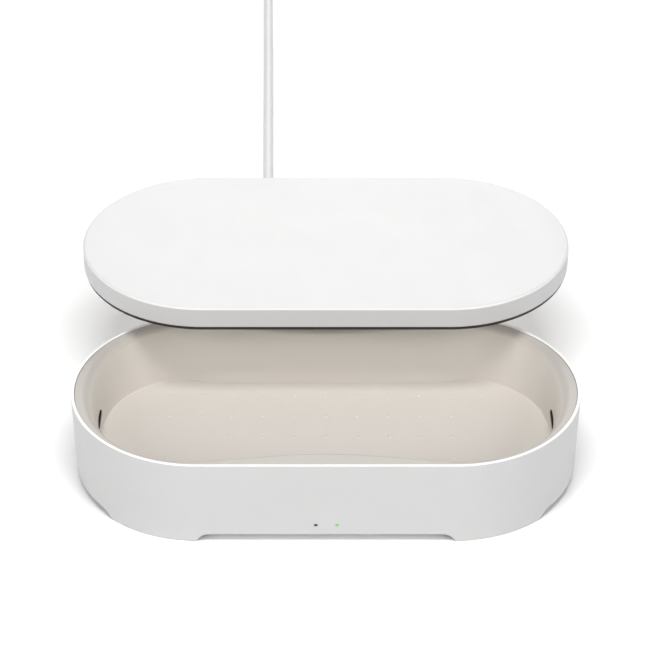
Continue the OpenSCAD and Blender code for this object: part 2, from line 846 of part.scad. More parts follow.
module plug_tongue() color([0.95, 0.95, 0.95])
  at_plug()
    translate([boot_len + grip_len, -tip_w / 2 + tip_wall, -0.1])
      cube([tip_len - 1.2, tip_w - 2 * tip_wall, tip_h / 2 - tip_wall]);

// Lid
lid_z = body_h + lid_lift + gasket_h;
lid_in_r = rim_r - lid_wall;
panel_t = 1.8;
panel_r = lid_in_r - fit_gap;
lid_top_t = 2;

module at_lid() {
  translate([0, lid_back, lid_z])
    children();
}

module lid_shell() color(shell_colour)
  at_lid()
    around()
      polygon(concat(
        [
          [0, lid_t - lid_top_t],
          [lid_in_r, lid_t - lid_top_t],
          [lid_in_r, 0],
          [rim_r, 0],
        ],
        arc(rim_r - lid_round, lid_t - lid_round, lid_round, 0, 90),
        [[0, lid_t]]
      ));

module lid_panel() color(tub_colour)
  at_lid() {
    around()
      square([panel_r, panel_t]);
    at_magnets()
      translate([0, 0, panel_t])
        difference() {
          cylinder(h = magnet_t, r = magnet_r + pocket_wall);
          cylinder(h = magnet_t + over, r = magnet_r + magnet_fit);
        }
  }

module lid_gasket() color(rubber_colour)
  at_lid()
    around()
      let (out_r = rim_r - gasket_inset, in_r = rim_r - gasket_inset - gasket_w, r = 0.5)
        polygon(concat(
          arc(out_r - r, r - gasket_h, r, -90, 0, 4),
          [[out_r, 0], [in_r, 0]],
          arc(in_r + r, r - gasket_h, r, 180, 270, 4)
        ));

module lid_magnets() color(steel_colour)
  at_lid()
    at_magnets()
      translate([0, 0, panel_t])
        cylinder(h = magnet_t, r = magnet_r);

outer_shell();
inner_tub();
base_pan();
foot_ring();
base_screws();
main_board();
board_parts();
indicator_board();
internal_leads();
uv_board_left();
uv_board_right();
uv_lamps_left();
uv_lamps_right();
uv_window_left();
uv_window_right();
status_light();
standby_light();
lid_sensor();
body_magnets();
strain_relief();
power_cord();
cord_coil();
cord_tie();
plug_body();
plug_shell();
plug_tongue();
lid_shell();
lid_panel();
lid_gasket();
lid_magnets();
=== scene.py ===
"""Looks of an oval sanitizer box for a phone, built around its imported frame."""
import logging
import math
from collections.abc import Callable, Iterator
from contextlib import contextmanager
from dataclasses import dataclass
from enum import Enum
from itertools import pairwise, product
from typing import Any

import bmesh
import bpy
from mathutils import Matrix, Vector


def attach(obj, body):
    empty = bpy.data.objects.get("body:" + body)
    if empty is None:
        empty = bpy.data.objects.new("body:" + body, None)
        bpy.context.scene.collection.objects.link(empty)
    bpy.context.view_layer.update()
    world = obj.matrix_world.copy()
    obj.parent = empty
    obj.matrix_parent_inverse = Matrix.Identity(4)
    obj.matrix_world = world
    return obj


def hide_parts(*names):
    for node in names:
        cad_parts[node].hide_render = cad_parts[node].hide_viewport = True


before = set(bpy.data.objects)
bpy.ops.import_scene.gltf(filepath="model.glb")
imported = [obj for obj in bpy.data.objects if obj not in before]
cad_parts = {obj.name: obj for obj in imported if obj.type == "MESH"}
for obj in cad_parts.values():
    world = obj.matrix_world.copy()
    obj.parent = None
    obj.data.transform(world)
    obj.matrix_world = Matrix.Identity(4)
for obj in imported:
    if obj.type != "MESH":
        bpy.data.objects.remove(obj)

log = logging.getLogger("sanitizer_box")

MM = 0.001
SIDES = (-1, 1)

Place = tuple[float, float]
Point = tuple[float, float, float]
Colour = tuple[float, float, float, float]


class Body(Enum):
    """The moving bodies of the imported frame."""

    BASE = "base"
    LID = "lid"


class Slot(Enum):
    """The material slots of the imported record."""

    SHELL = "shell_white"
    TUB = "tub_beige"
    PAN = "base_grey"
    RUBBER = "rubber_black"
    STEEL = "steel"
    BOARD = "circuit_board"
    CHIP = "chip_black"
    LEAD = "lead_red"
    LAMP = "lamp_ceramic"
    PANE = "window_dark"
    GREEN = "light_green"
    DARK = "light_dark"
    NICKEL = "magnet_nickel"
    CORD = "cord_white"
    TIE = "tie_grey"
    PLUG = "plug_white"


class Pick(Enum):
    """What a selection in edit mode picks."""

    VERT = "VERT"
    EDGE = "EDGE"
    FACE = "FACE"


# Selection and edit mode


@contextmanager
def picked(*pieces: bpy.types.Object) -> Iterator[None]:
    """Holds pieces selected and nothing else, with the first one active.

    Args:
        pieces: The objects.
    """
    bpy.ops.object.select_all(action="DESELECT")
    for piece in pieces:
        piece.select_set(True)
    bpy.context.view_layer.objects.active = pieces[0]
    yield
    pieces[0].select_set(False)


@contextmanager
def editing(piece: bpy.types.Object) -> Iterator[None]:
    """Holds one piece in edit mode, with nothing selected at the start.

    Args:
        piece: The mesh object to edit.
    """
    with picked(piece):
        bpy.ops.object.mode_set(mode="EDIT")
        bpy.ops.mesh.select_all(action="DESELECT")
        yield
        bpy.ops.object.mode_set(mode="OBJECT")


def choose(piece: bpy.types.Object, pick: Pick, test: Callable[[Any], bool]) -> None:
    """Selects the elements of a piece in edit mode that pass a test.

    Args:
        piece: The mesh object in edit mode.
        pick: Which kind of element is tested.
        test: Says whether an element is selected.
    """
    bpy.ops.mesh.select_mode(type=pick.value)
    mesh = bmesh.from_edit_mesh(piece.data)
    for kind in (mesh.verts, mesh.edges, mesh.faces):
        for element in kind:
            element.select_set(False)
    for element in {Pick.VERT: mesh.verts, Pick.EDGE: mesh.edges, Pick.FACE: mesh.faces}[pick]:
        if test(element):
            element.select_set(True)
    bmesh.update_edit_mesh(piece.data)


def along_x(edge: bmesh.types.BMEdge) -> bool:
    """Says whether an edge runs along X."""
    return abs(edge.verts[0].co.x - edge.verts[1].co.x) > MM


def bevel(width: float, segments: int) -> None:
    """Bevels the selected edges by a width in millimetres."""
    bpy.ops.mesh.bevel(offset=width * MM, segments=segments, affect="EDGES")


def face_out() -> None:
    """Turns all faces of the piece in edit mode outwards."""
    bpy.ops.mesh.select_all(action="SELECT")
    bpy.ops.mesh.normals_make_consistent(inside=False)


def adopt(name: str) -> bpy.types.Object:
    """Names the primitive that was just added and moves its place into its mesh.

    Args:
        name: The piece's name.

    Returns:
        The piece, with its object at the origin.
    """
    piece = bpy.context.active_object
    piece.name = name
    piece.data.name = name
    bpy.ops.object.transform_apply(location=True, rotation=True, scale=True)
    return piece


def block(name: str, middle: Point, size: Point) -> bpy.types.Object:
    """Adds a block along the axes: the start of a piece, or a cutter.

    Args:
        name: Its name.
        middle: Its middle, in millimetres.
        size: Its three sizes, in millimetres.

    Returns:
        The block.
    """
    bpy.ops.object.select_all(action="DESELECT")
    bpy.ops.mesh.primitive_cube_add(size=1, location=[value * MM for value in middle])
    bpy.context.active_object.scale = [value * MM for value in size]
    return adopt(name)


def move_points(piece: bpy.types.Object, place: Callable[[Vector], Vector]) -> None:
    """Moves each vertex of a piece to where a rule puts it.

    Args:
        piece: The mesh object, in object mode.
        place: Takes a vertex's place and gives its new one.
    """
    for vertex in piece.data.vertices:
        vertex.co = place(vertex.co.copy())
    piece.data.update()


def settle(piece: bpy.types.Object, at: Point = (0, 0, 0), turn: Point = (0, 0, 0)) -> None:
    """Turns a piece, then carries it to its place, all in its mesh.

    Args:
        piece: The object, now at the origin.
        at: Where its origin goes, in millimetres.
        turn: Its turns about X, Y and Z, in degrees.
    """
    with picked(piece):
        piece.rotation_euler = [math.radians(angle) for angle in turn]
        piece.location = [value * MM for value in at]
        bpy.ops.object.transform_apply(location=True, rotation=True, scale=True)


def run_modifier(piece: bpy.types.Object, kind: str, settings: dict[str, Any]) -> None:
    """Adds a modifier to a piece and applies it.

    Args:
        piece: The mesh object.
        kind: The modifier's type.
        settings: Its values by name.
    """
    modifier = piece.modifiers.new(kind.lower(), kind)
    for name, value in settings.items():
        setattr(modifier, name, value)
    bpy.context.view_layer.objects.active = piece
    bpy.ops.object.modifier_apply(modifier=modifier.name)


def carve(piece: bpy.types.Object, cutter: bpy.types.Object) -> None:
    """Takes a cutter's volume out of a piece and deletes the cutter.

    Args:
        piece: The mesh object that is cut.
        cutter: A closed mesh object.
    """
    run_modifier(piece, "BOOLEAN", {"object": cutter, "operation": "DIFFERENCE", "solver": "EXACT"})
    bpy.data.objects.remove(cutter, do_unlink=True)


@dataclass(frozen=True)
class FlatTube:
    """A flat tube along X with round corners and a thin wall, sizes in millimetres."""

    name: str
    middle: Point
    size: Point
    corner: float
    segments: int
    wall: float
    outside: bool

    def make(self) -> bpy.types.Object:
        """Makes the tube.

        Returns:
            The tube, its wall outside or inside of the outline that its sizes give.
        """
        piece = block(self.name, self.middle, self.size)
        with editing(piece):
            choose(piece, Pick.FACE, lambda f: abs(f.normal.x) > 0.5)
            bpy.ops.mesh.delete(type="ONLY_FACE")
            choose(piece, Pick.EDGE, along_x)
            bevel(self.corner, self.segments)
            face_out()
        run_modifier(piece, "SOLIDIFY", {"thickness": self.wall * MM, "offset": 1.0 if self.outside else -1.0})
        return piece


def join(name: str, pieces: list[bpy.types.Object]) -> bpy.types.Object:
    """Joins pieces of one material into one.

    Args:
        name: The name of the joined piece.
        pieces: The mesh objects to join.

    Returns:
        The joined piece.
    """
    with picked(*pieces):
        bpy.ops.object.join()
    pieces[0].name = pieces[0].data.name = name
    return pieces[0]


def copy_to(piece: bpy.types.Object, shift: Point) -> bpy.types.Object:
    """Copies a piece with its own mesh to another place.

    Args:
        piece: The mesh object to copy.
        shift: How far the copy is moved, in millimetres.

    Returns:
        The copy.
    """
    copy = piece.copy()
    copy.data = piece.data.copy()
    bpy.context.collection.objects.link(copy)
    settle(copy, shift)
    return copy


def smooth(piece: bpy.types.Object, angle: float) -> None:
    """Shades a piece smooth, but for edges sharper than an angle in degrees."""
    with picked(piece):
        bpy.ops.object.shade_smooth_by_angle(angle=math.radians(angle))


def arc(centre: Place, radius: float, start: float, end: float, steps: int) -> list[Place]:
    """Gives points along an arc in equal steps, from a start to an end angle in degrees."""
    angles = [math.radians(start + (end - start) * i / steps) for i in range(steps + 1)]
    return [(centre[0] + radius * math.cos(a), centre[1] + radius * math.sin(a)) for a in angles]


def mix(a: float, b: float, t: float) -> float:
    """Gives the value between a and b at share t."""
    return a + (b - a) * t


def ease(t: float) -> float:
    """Gives a share from 0 to 1 that starts and ends softly."""
    u = min(1.0, max(0.0, t))
    return u * u * (3 - 2 * u)


# Node maths


class Wire:
    """The output of a shader node, on which maths is written as plain expressions."""

    def __init__(self, graph: "Graph", out: bpy.types.NodeSocket) -> None:
        """Keeps the graph, which adds the maths nodes, and a node's output."""
        self.graph = graph
        self.out = out

    def _math(self, operation: str, first: Any, second: Any) -> "Wire":
        """Adds one Math node."""
        return self.graph.add("ShaderNodeMath", {"operation": operation}, {0: first, 1: second})

    def __add__(self, other: "Wire | float") -> "Wire":
        """Adds."""
        return self._math("ADD", self, other)

    def __sub__(self, other: "Wire | float") -> "Wire":
        """Takes a value away."""
        return self._math("SUBTRACT", self, other)

    def __rsub__(self, other: float) -> "Wire":
        """Takes this from a number."""
        return self._math("SUBTRACT", other, self)

    def __mul__(self, other: "Wire | float") -> "Wire":
        """Multiplies."""
        return self._math("MULTIPLY", self, other)


class Graph:
    """The node tree of one material."""

    def __init__(self, name: str) -> None:
        """Makes an empty material.

        Args:
            name: The material's name.
        """
        self.material = bpy.data.materials.new(name)
        self.material.use_nodes = True
        self.tree = self.material.node_tree
        self.tree.nodes.clear()
        self.spot = self.add("ShaderNodeTexCoord", {}, {}, "Object")

    def add(self, kind: str, settings: dict[str, Any], sockets: dict[Any, Any], output: Any = 0) -> Wire:
        """Adds a node, sets it, then fills its sockets.

        Args:
            kind: The node's type.
            settings: Its own values by name.
            sockets: A wire or a plain value for each socket, by name or number.
            output: The name or number of the output that is wanted.

        Returns:
            That output.
        """
        node = self.tree.nodes.new(kind)
        for name, value in settings.items():
            setattr(node, name, value)
        for name, value in sockets.items():
            if isinstance(value, Wire):
                self.tree.links.new(value.out, node.inputs[name])
            else:
                node.inputs[name].default_value = value
        return Wire(self, node.outputs[output])

    def noise(self, scale: float, detail: float = 2, stretch: Point | None = None) -> Wire:
        """Gives noise from 0 to 1 on the piece's own coordinates.

        Args:
            scale: How many features there are in a metre.
            detail: How many finer layers it has.
            stretch: Scales its three directions, where they differ.

        Returns:
            The noise.
        """
        spot = self.spot
        if stretch:
            spot = self.add("ShaderNodeMapping", {}, {"Vector": self.spot, "Scale": stretch})
        return self.add("ShaderNodeTexNoise", {}, {"Vector": spot, "Scale": scale, "Detail": detail})

    def height(self) -> Wire:
        """Gives the height above the table in metres."""
        return self.add("ShaderNodeSeparateXYZ", {}, {0: self.spot}, "Z")

    def band(self, value: Wire, low: float, high: float) -> Wire:
        """Gives 0 where a value is below low, 1 above high and a soft rise between."""
        sockets = {"Value": value, "From Min": low, "From Max": high}
        return self.add("ShaderNodeMapRange", {"interpolation_type": "SMOOTHSTEP"}, sockets)

    def tint(self, share: Wire | float, first: Any, second: Any) -> Wire:
        """Mixes two colours, plain ones or wires, with a share of the second."""
        return self.add("ShaderNodeMix", {"data_type": "RGBA"}, {0: share, 6: first, 7: second}, 2)

    def bump(self, height: Wire, depth: float) -> Wire:
        """Turns heights from 0 to 1 into a bumpy normal, its depth in metres."""
        return self.add("ShaderNodeBump", {}, {"Height": height, "Distance": depth, "Strength": 1.0}, "Normal")

    def close(self, sockets: dict[str, Any]) -> bpy.types.Material:
        """Ends the tree in a Principled shader.

        Args:
            sockets: The values and wires of its sockets.

        Returns:
            The material.
        """
        shader = self.add("ShaderNodeBsdfPrincipled", {}, sockets)
        end = self.tree.nodes.new("ShaderNodeOutputMaterial")
        self.tree.links.new(shader.out, end.inputs["Surface"])
        return self.material


# Finishes; the numbers named scale are features in a metre


@dataclass(frozen=True)
class Finish:
    """What all finishes share: a name and a main colour."""

    name: str
    colour: Colour

    def tone(self, share: float) -> Colour:
        """Gives the colour made lighter or darker by a share."""
        return (self.colour[0] * share, self.colour[1] * share, self.colour[2] * share, 1.0)

    def sockets(self, graph: Graph) -> dict[str, Any]:
        """Gives the shader's values and wires; each finish gives its own."""
        raise NotImplementedError

    def make(self) -> bpy.types.Material:
        """Builds the material."""
        graph = Graph(self.name)
        return graph.close(self.sockets(graph))


@dataclass(frozen=True)
class PaintedLightZone:
    """A zone of heights whose colour is scaled, above 1 a painted highlight and below 1 painted shade; its ends and
    their softness in metres.
    """

    low: float
    high: float
    soft: float
    light: float

    def share(self, graph: Graph) -> Wire:
        """Gives 1 inside the zone and 0 outside."""
        height, top = graph.height(), graph.height()
        below_top = 1.0 - graph.band(top, self.high - self.soft, self.high + self.soft)
        return graph.band(height, self.low - self.soft, self.low + self.soft) * below_top


@dataclass(frozen=True)
class MouldedPlastic(Finish):
    """Moulded plastic: a fine spark-eroded grain, slight unevenness, a handled edge and zones of painted highlight
    and painted shade.
    """

    roughness: float = 0.36
    grain_scale: float = 3200
    grain_depth: float = 0.000012
    cloud_scale: float = 26
    fleck_scale: float = 420
    wear_scale: float = 90
    handled: Place | None = None
    soft: float = 0.0
    soft_depth: float = 0.0015
    specular: float = 0.5
    painted_light_zones: tuple[PaintedLightZone, ...] = ()

    def sockets(self, graph: Graph) -> dict[str, Any]:
        """Gives the shader's sockets.

        Args:
            graph: The material's graph.

        Returns:
            Their values and wires by name.
        """
        cloud = graph.noise(self.cloud_scale, 3)
        fleck = graph.noise(self.fleck_scale, 2)
        grain = graph.noise(self.grain_scale, 2)
        colour = graph.tint(cloud, self.tone(0.985), self.tone(1.012))
        colour = graph.tint(graph.band(fleck, 0.68, 0.8) * 0.25, colour, self.tone(0.95))
        roughness = cloud * 0.05 + fleck * 0.05 + (self.roughness - 0.05)
        if self.handled:
            worn = graph.band(graph.height(), *self.handled) * graph.noise(self.wear_scale, 3)
            roughness = roughness - worn * 0.08
            colour = graph.tint(worn * 0.3, colour, self.tone(1.03))
        # painted highlights and painted shade: bands of heights are made lighter and darker
        for zone in self.painted_light_zones:
            colour = graph.tint(zone.share(graph), colour, self.tone(zone.light))
        return {
            "Base Color": colour, "Roughness": roughness, "Normal": graph.bump(grain, self.grain_depth),
            "IOR": 1.5, "Specular IOR Level": self.specular,
            "Subsurface Weight": self.soft, "Subsurface Scale": self.soft_depth,
        }


@dataclass(frozen=True)
class SoftRubber(Finish):
    """Rubber or a rubber-like sleeve: dull, with a fine bloom and small pits."""

    roughness: float = 0.6
    grain_scale: float = 1800
    grain_depth: float = 0.00002
    sheen: float = 0.0
    cloud_scale: float = 60
    dust_scale: float = 240

    def sockets(self, graph: Graph) -> dict[str, Any]:
        """Gives the shader's sockets.

        Args:
            graph: The material's graph.

        Returns:
            Their values and wires by name.
        """
        cloud = graph.noise(self.cloud_scale, 3)
        grain = graph.noise(self.grain_scale, 3)
        dust = graph.band(graph.noise(self.dust_scale, 4), 0.5, 0.8)
        colour = graph.tint(cloud, self.tone(0.96), self.tone(1.04))
        return {
            "Base Color": graph.tint(dust * 0.12, colour, self.tone(1.25)),
            "Roughness": cloud * 0.1 + (self.roughness - 0.05) + dust * 0.05,
            "Normal": graph.bump(grain, self.grain_depth), "IOR": 1.5, "Sheen Weight": self.sheen,
        }


@dataclass(frozen=True)
class DarkPane(Finish):
    """A dark filter glass: near black and satin, with faint smears."""

    smear_scale: float = 180
    smear_stretch: Point = (1.0, 0.3, 1.0)
    grain_scale: float = 900
    grain_depth: float = 0.000004

    def sockets(self, graph: Graph) -> dict[str, Any]:
        """Gives the shader's sockets.

        Args:
            graph: The material's graph.

        Returns:
            Their values and wires by name.
        """
        smear = graph.noise(self.smear_scale, 4, self.smear_stretch)
        return {
            "Base Color": graph.tint(smear, self.tone(0.8), self.tone(1.3)),
            "Roughness": smear * 0.16 + 0.3, "Specular IOR Level": 0.12,
            "Normal": graph.bump(graph.noise(self.grain_scale, 2), self.grain_depth),
        }


@dataclass(frozen=True)
class LightPipe(Finish):
    """A small light window of clear plastic with a speckled tone, which glows when lit."""

    glow: float = 0.0
    spark_scale: float = 1500
    grain_scale: float = 2600
    grain_depth: float = 0.00001

    def sockets(self, graph: Graph) -> dict[str, Any]:
        """Gives the shader's sockets.

        Args:
            graph: The material's graph.

        Returns:
            Their values and wires by name.
        """
        spark = graph.noise(self.spark_scale, 3)
        colour = graph.tint(spark, self.tone(0.85), self.tone(1.15))
        return {
            "Base Color": colour, "Roughness": spark * 0.15 + 0.2, "IOR": 1.49, "Coat Weight": 0.5,
            "Emission Color": colour, "Emission Strength": self.glow,
            "Normal": graph.bump(graph.noise(self.grain_scale, 2), self.grain_depth),
        }


@dataclass(frozen=True)
class WornMetal(Finish):
    """Plated or drawn metal with fine lines along one direction and dull spots."""

    roughness: float = 0.28
    line_stretch: Point = (1.0, 1.0, 1.0)
    line_scale: float = 900
    line_depth: float = 0.000008
    spot_scale: float = 260

    def sockets(self, graph: Graph) -> dict[str, Any]:
        """Gives the shader's sockets.

        Args:
            graph: The material's graph.

        Returns:
            Their values and wires by name.
        """
        drawn = graph.noise(self.line_scale, 3, self.line_stretch)
        spots = graph.band(graph.noise(self.spot_scale, 4), 0.52, 0.75)
        return {
            "Base Color": graph.tint(spots * 0.5, self.colour, self.tone(0.72)), "Metallic": 1.0,
            "Roughness": drawn * 0.16 + spots * 0.15 + (self.roughness - 0.08),
            "Normal": graph.bump(drawn, self.line_depth),
        }


@dataclass(frozen=True)
class BoardLacquer(Finish):
    """A circuit board's green lacquer over a faint net of copper tracks."""

    track_scale: float = 260
    weave_scale: float = 1500
    depth: float = 0.00003

    def sockets(self, graph: Graph) -> dict[str, Any]:
        """Gives the shader's sockets.

        Args:
            graph: The material's graph.

        Returns:
            Their values and wires by name.
        """
        net = {"distance": "MANHATTAN", "feature": "F1"}
        cells = graph.add("ShaderNodeTexVoronoi", net, {"Vector": graph.spot, "Scale": self.track_scale})
        track = graph.band(cells, 0.42, 0.5)
        weave = graph.noise(self.weave_scale, 2)
        return {
            "Base Color": graph.tint(track * 0.6, self.colour, self.tone(1.7)),
            "Roughness": weave * 0.12 + 0.3, "Coat Weight": 0.3,
            "Normal": graph.bump(track + weave * 0.3, self.depth),
        }


@dataclass(frozen=True)
class HookTape(Finish):
    """The tie's woven hook tape: fine ribs across and a fuzzy grain."""

    rib_scale: float = 420
    rib_wobble: float = 0.6
    fuzz_scale: float = 3800
    depth: float = 0.00012

    def sockets(self, graph: Graph) -> dict[str, Any]:
        """Gives the shader's sockets.

        Args:
            graph: The material's graph.

        Returns:
            Their values and wires by name.
        """
        wave = {"Vector": graph.spot, "Scale": self.rib_scale, "Distortion": self.rib_wobble}
        rib = graph.add("ShaderNodeTexWave", {"bands_direction": "X"}, wave)
        fuzz = graph.noise(self.fuzz_scale, 4)
        return {
            "Base Color": graph.tint(rib * 0.6 + fuzz * 0.4, self.tone(0.6), self.tone(1.5)),
            "Roughness": fuzz * 0.15 + 0.8, "Sheen Weight": 0.4,
            "Normal": graph.bump(rib + fuzz * 0.8, self.depth),
        }


class Finishes:
    """All finishes of the box, one material for each slot of the record."""

    def __init__(self) -> None:
        """Builds the materials."""
        makers = {
            Slot.SHELL: MouldedPlastic(
                "satin_white_abs", (0.578, 0.575, 0.574, 1), 0.4, soft=0.04, specular=0.3, handled=(0.040, 0.0452),
                # painted highlights: the rim's top band and the lid's top edge are painted lighter
                painted_light_zones=(PaintedLightZone(0.0448, 0.046, 0.0001, 1.5), PaintedLightZone(0.07, 0.07084, 0.00008, 1.3)),
            ),
            Slot.TUB: MouldedPlastic(
                "warm_beige_abs", (0.66, 0.623, 0.577, 1), 0.48, 2600, specular=0.25,
                # painted shade: the floor is painted a little darker, and the ledge much darker where it takes more
                # light than the floor
                painted_light_zones=(PaintedLightZone(-0.01, 0.0159, 0.00015, 0.975), PaintedLightZone(0.0422, 0.06, 0.0016, 0.7)),
            ),
            Slot.PAN: MouldedPlastic("matte_grey_abs", (0.70, 0.70, 0.69, 1), 0.55, 2000, 0.00003),
            Slot.RUBBER: SoftRubber("black_silicone", (0.022, 0.022, 0.023, 1), 0.62),
            Slot.STEEL: WornMetal("zinc_plated_steel", (0.62, 0.62, 0.63, 1), 0.3, (1, 8, 1)),
            Slot.BOARD: BoardLacquer("green_board_lacquer", (0.03, 0.17, 0.08, 1)),
            Slot.CHIP: MouldedPlastic("chip_epoxy", (0.03, 0.03, 0.032, 1), 0.6, 5000, 0.00002),
            Slot.LEAD: SoftRubber("red_lead_sleeve", (0.42, 0.04, 0.035, 1), 0.45),
            Slot.LAMP: MouldedPlastic("lamp_ceramic", (0.84, 0.80, 0.68, 1), 0.5, 6000),
            Slot.PANE: DarkPane("dark_filter_glass", (0.008, 0.007, 0.009, 1)),
            Slot.GREEN: LightPipe("lit_green_pipe", (0.16, 0.42, 0.13, 1), 0.5),
            Slot.DARK: LightPipe("unlit_dark_pipe", (0.02, 0.02, 0.022, 1)),
            Slot.NICKEL: WornMetal("nickel_plated_magnet", (0.66, 0.64, 0.6, 1), 0.22),
            Slot.CORD: SoftRubber("white_cord_sleeve", (0.69, 0.69, 0.687, 1), 0.5, 1400, 0.00001, 0.1),
            Slot.TIE: HookTape("grey_hook_tape", (0.12, 0.12, 0.125, 1)),
            Slot.PLUG: MouldedPlastic("white_plug_plastic", (0.82, 0.82, 0.815, 1), 0.34, 2400),
        }
        self.materials = {slot: maker.make() for slot, maker in makers.items()}

    def dress(self, piece: bpy.types.Object, slot: Slot) -> None:
        """Gives a piece the material of its slot.

        Args:
            piece: The object.
            slot: The record's slot.
        """
        piece.data.materials.clear()
        piece.data.materials.append(self.materials[slot])

    def dress_node(self, node: str, slot: Slot) -> None:
        """Gives a CAD node its material.

        Args:
            node: The node's name.
            slot: The record's slot.
        """
        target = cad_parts[node]
        for place in target.material_slots:
            place.material = self.materials[slot]
        log.info("dressed %s as %s", node, slot.value)

    def place(self, piece: bpy.types.Object, body: Body, slot: Slot, *nodes: str) -> None:
        """Finishes a piece: material, body and the CAD nodes that it stands for.

        Args:
            piece: The object.
            body: The body that it moves with.
            slot: The record's slot.
            nodes: The CAD nodes that it replaces.
        """
        self.dress(piece, slot)
        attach(piece, body.value)
        if nodes:
            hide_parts(*nodes)
        log.info("made %s on %s, %d faces", piece.name, body.value, len(getattr(piece.data, "polygons", ())))


# The oval that all the large pieces follow


@dataclass(frozen=True)
class Oval:
    """The box's outline: two half turns and two straight runs, sizes in millimetres."""

    length: float = 244.0
    width: float = 124.5
    height: float = 45.0
    wall: float = 1.55
    lean: float = 1.1
    columns: int = 192
    cuts: int = 23

    @property
    def radius(self) -> float:
        """The radius of the outline's ends."""
        return self.width / 2

    @property
    def half(self) -> float:
        """Half the length of a straight run."""
        return (self.length - self.width) / 2

    @property
    def inner(self) -> float:
        """The radius inside the wall at the rim."""
        return self.radius - self.wall

    def wall_radius(self, z: float) -> float:
        """Gives the wall's outer radius at a height."""
        return self.radius - self.lean * (1 - z / self.height)

    def turn(self, name: str, profile: list[Place], closed: bool, columns: int | None = None,
             half: float | None = None, cuts: int | None = None) -> bpy.types.Object:
        """Turns a profile round its axis and pulls the two halves apart.

        Args:
            name: The piece's name.
            profile: Radius and height of each ring in turn.
            closed: Whether the last ring is the first one; if not, both ends are filled.
            columns: How many points a full turn has.
            half: Half the length of the straight run.
            cuts: How often a straight run is cut.

        Returns:
            The piece.
        """
        columns = columns or self.columns
        half = self.half if half is None else half
        radius, z = profile[0]
        bpy.ops.object.select_all(action="DESELECT")
        bpy.ops.mesh.primitive_circle_add(
            vertices=columns, radius=radius * MM, fill_type="NOTHING" if closed else "NGON",
            location=(0, 0, z * MM), rotation=(0, 0, math.pi / columns),
        )
        piece = adopt(name)
        with editing(piece):
            bpy.ops.mesh.select_mode(type="VERT")
            bpy.ops.mesh.select_all(action="SELECT")
            for (r0, z0), (r1, z1) in pairwise(profile):
                bpy.ops.mesh.extrude_region_move(TRANSFORM_OT_translate={"value": (0, 0, (z1 - z0) * MM)})
                bpy.ops.transform.resize(value=(r1 / r0, r1 / r0, 1), center_override=(0, 0, z1 * MM))
            bpy.ops.mesh.select_all(action="SELECT")
            bpy.ops.mesh.remove_doubles(threshold=0.000001)
            if half:
                for side in (1, -1):
                    choose(piece, Pick.VERT, lambda v, side=side: v.co.x * side > 0)
                    bpy.ops.transform.translate(value=(side * half * MM, 0, 0))
                choose(piece, Pick.EDGE, lambda e: e.verts[0].co.x * e.verts[1].co.x < 0)
                bpy.ops.mesh.subdivide(number_cuts=self.cuts if cuts is None else cuts)
            face_out()
        return piece

    def bar(self, name: str, length: float, height: float, depth: float, edge: float = 0) -> bpy.types.Object:
        """Makes a bar with round ends, its length along X and its depth upwards.

        Args:
            name: The piece's name.
            length: Its length.
            height: Its width.
            depth: Its depth.
            edge: The rounding of its upper edge.

        Returns:
            The bar, from height 0 up.
        """
        r = height / 2
        profile = [(r, 0.0), (r, depth - edge)]
        if edge:
            profile += arc((r - edge, depth - edge), edge, 0, 90, 4)[1:]
        return self.turn(name, profile, False, 32, (length - height) / 2, 0)


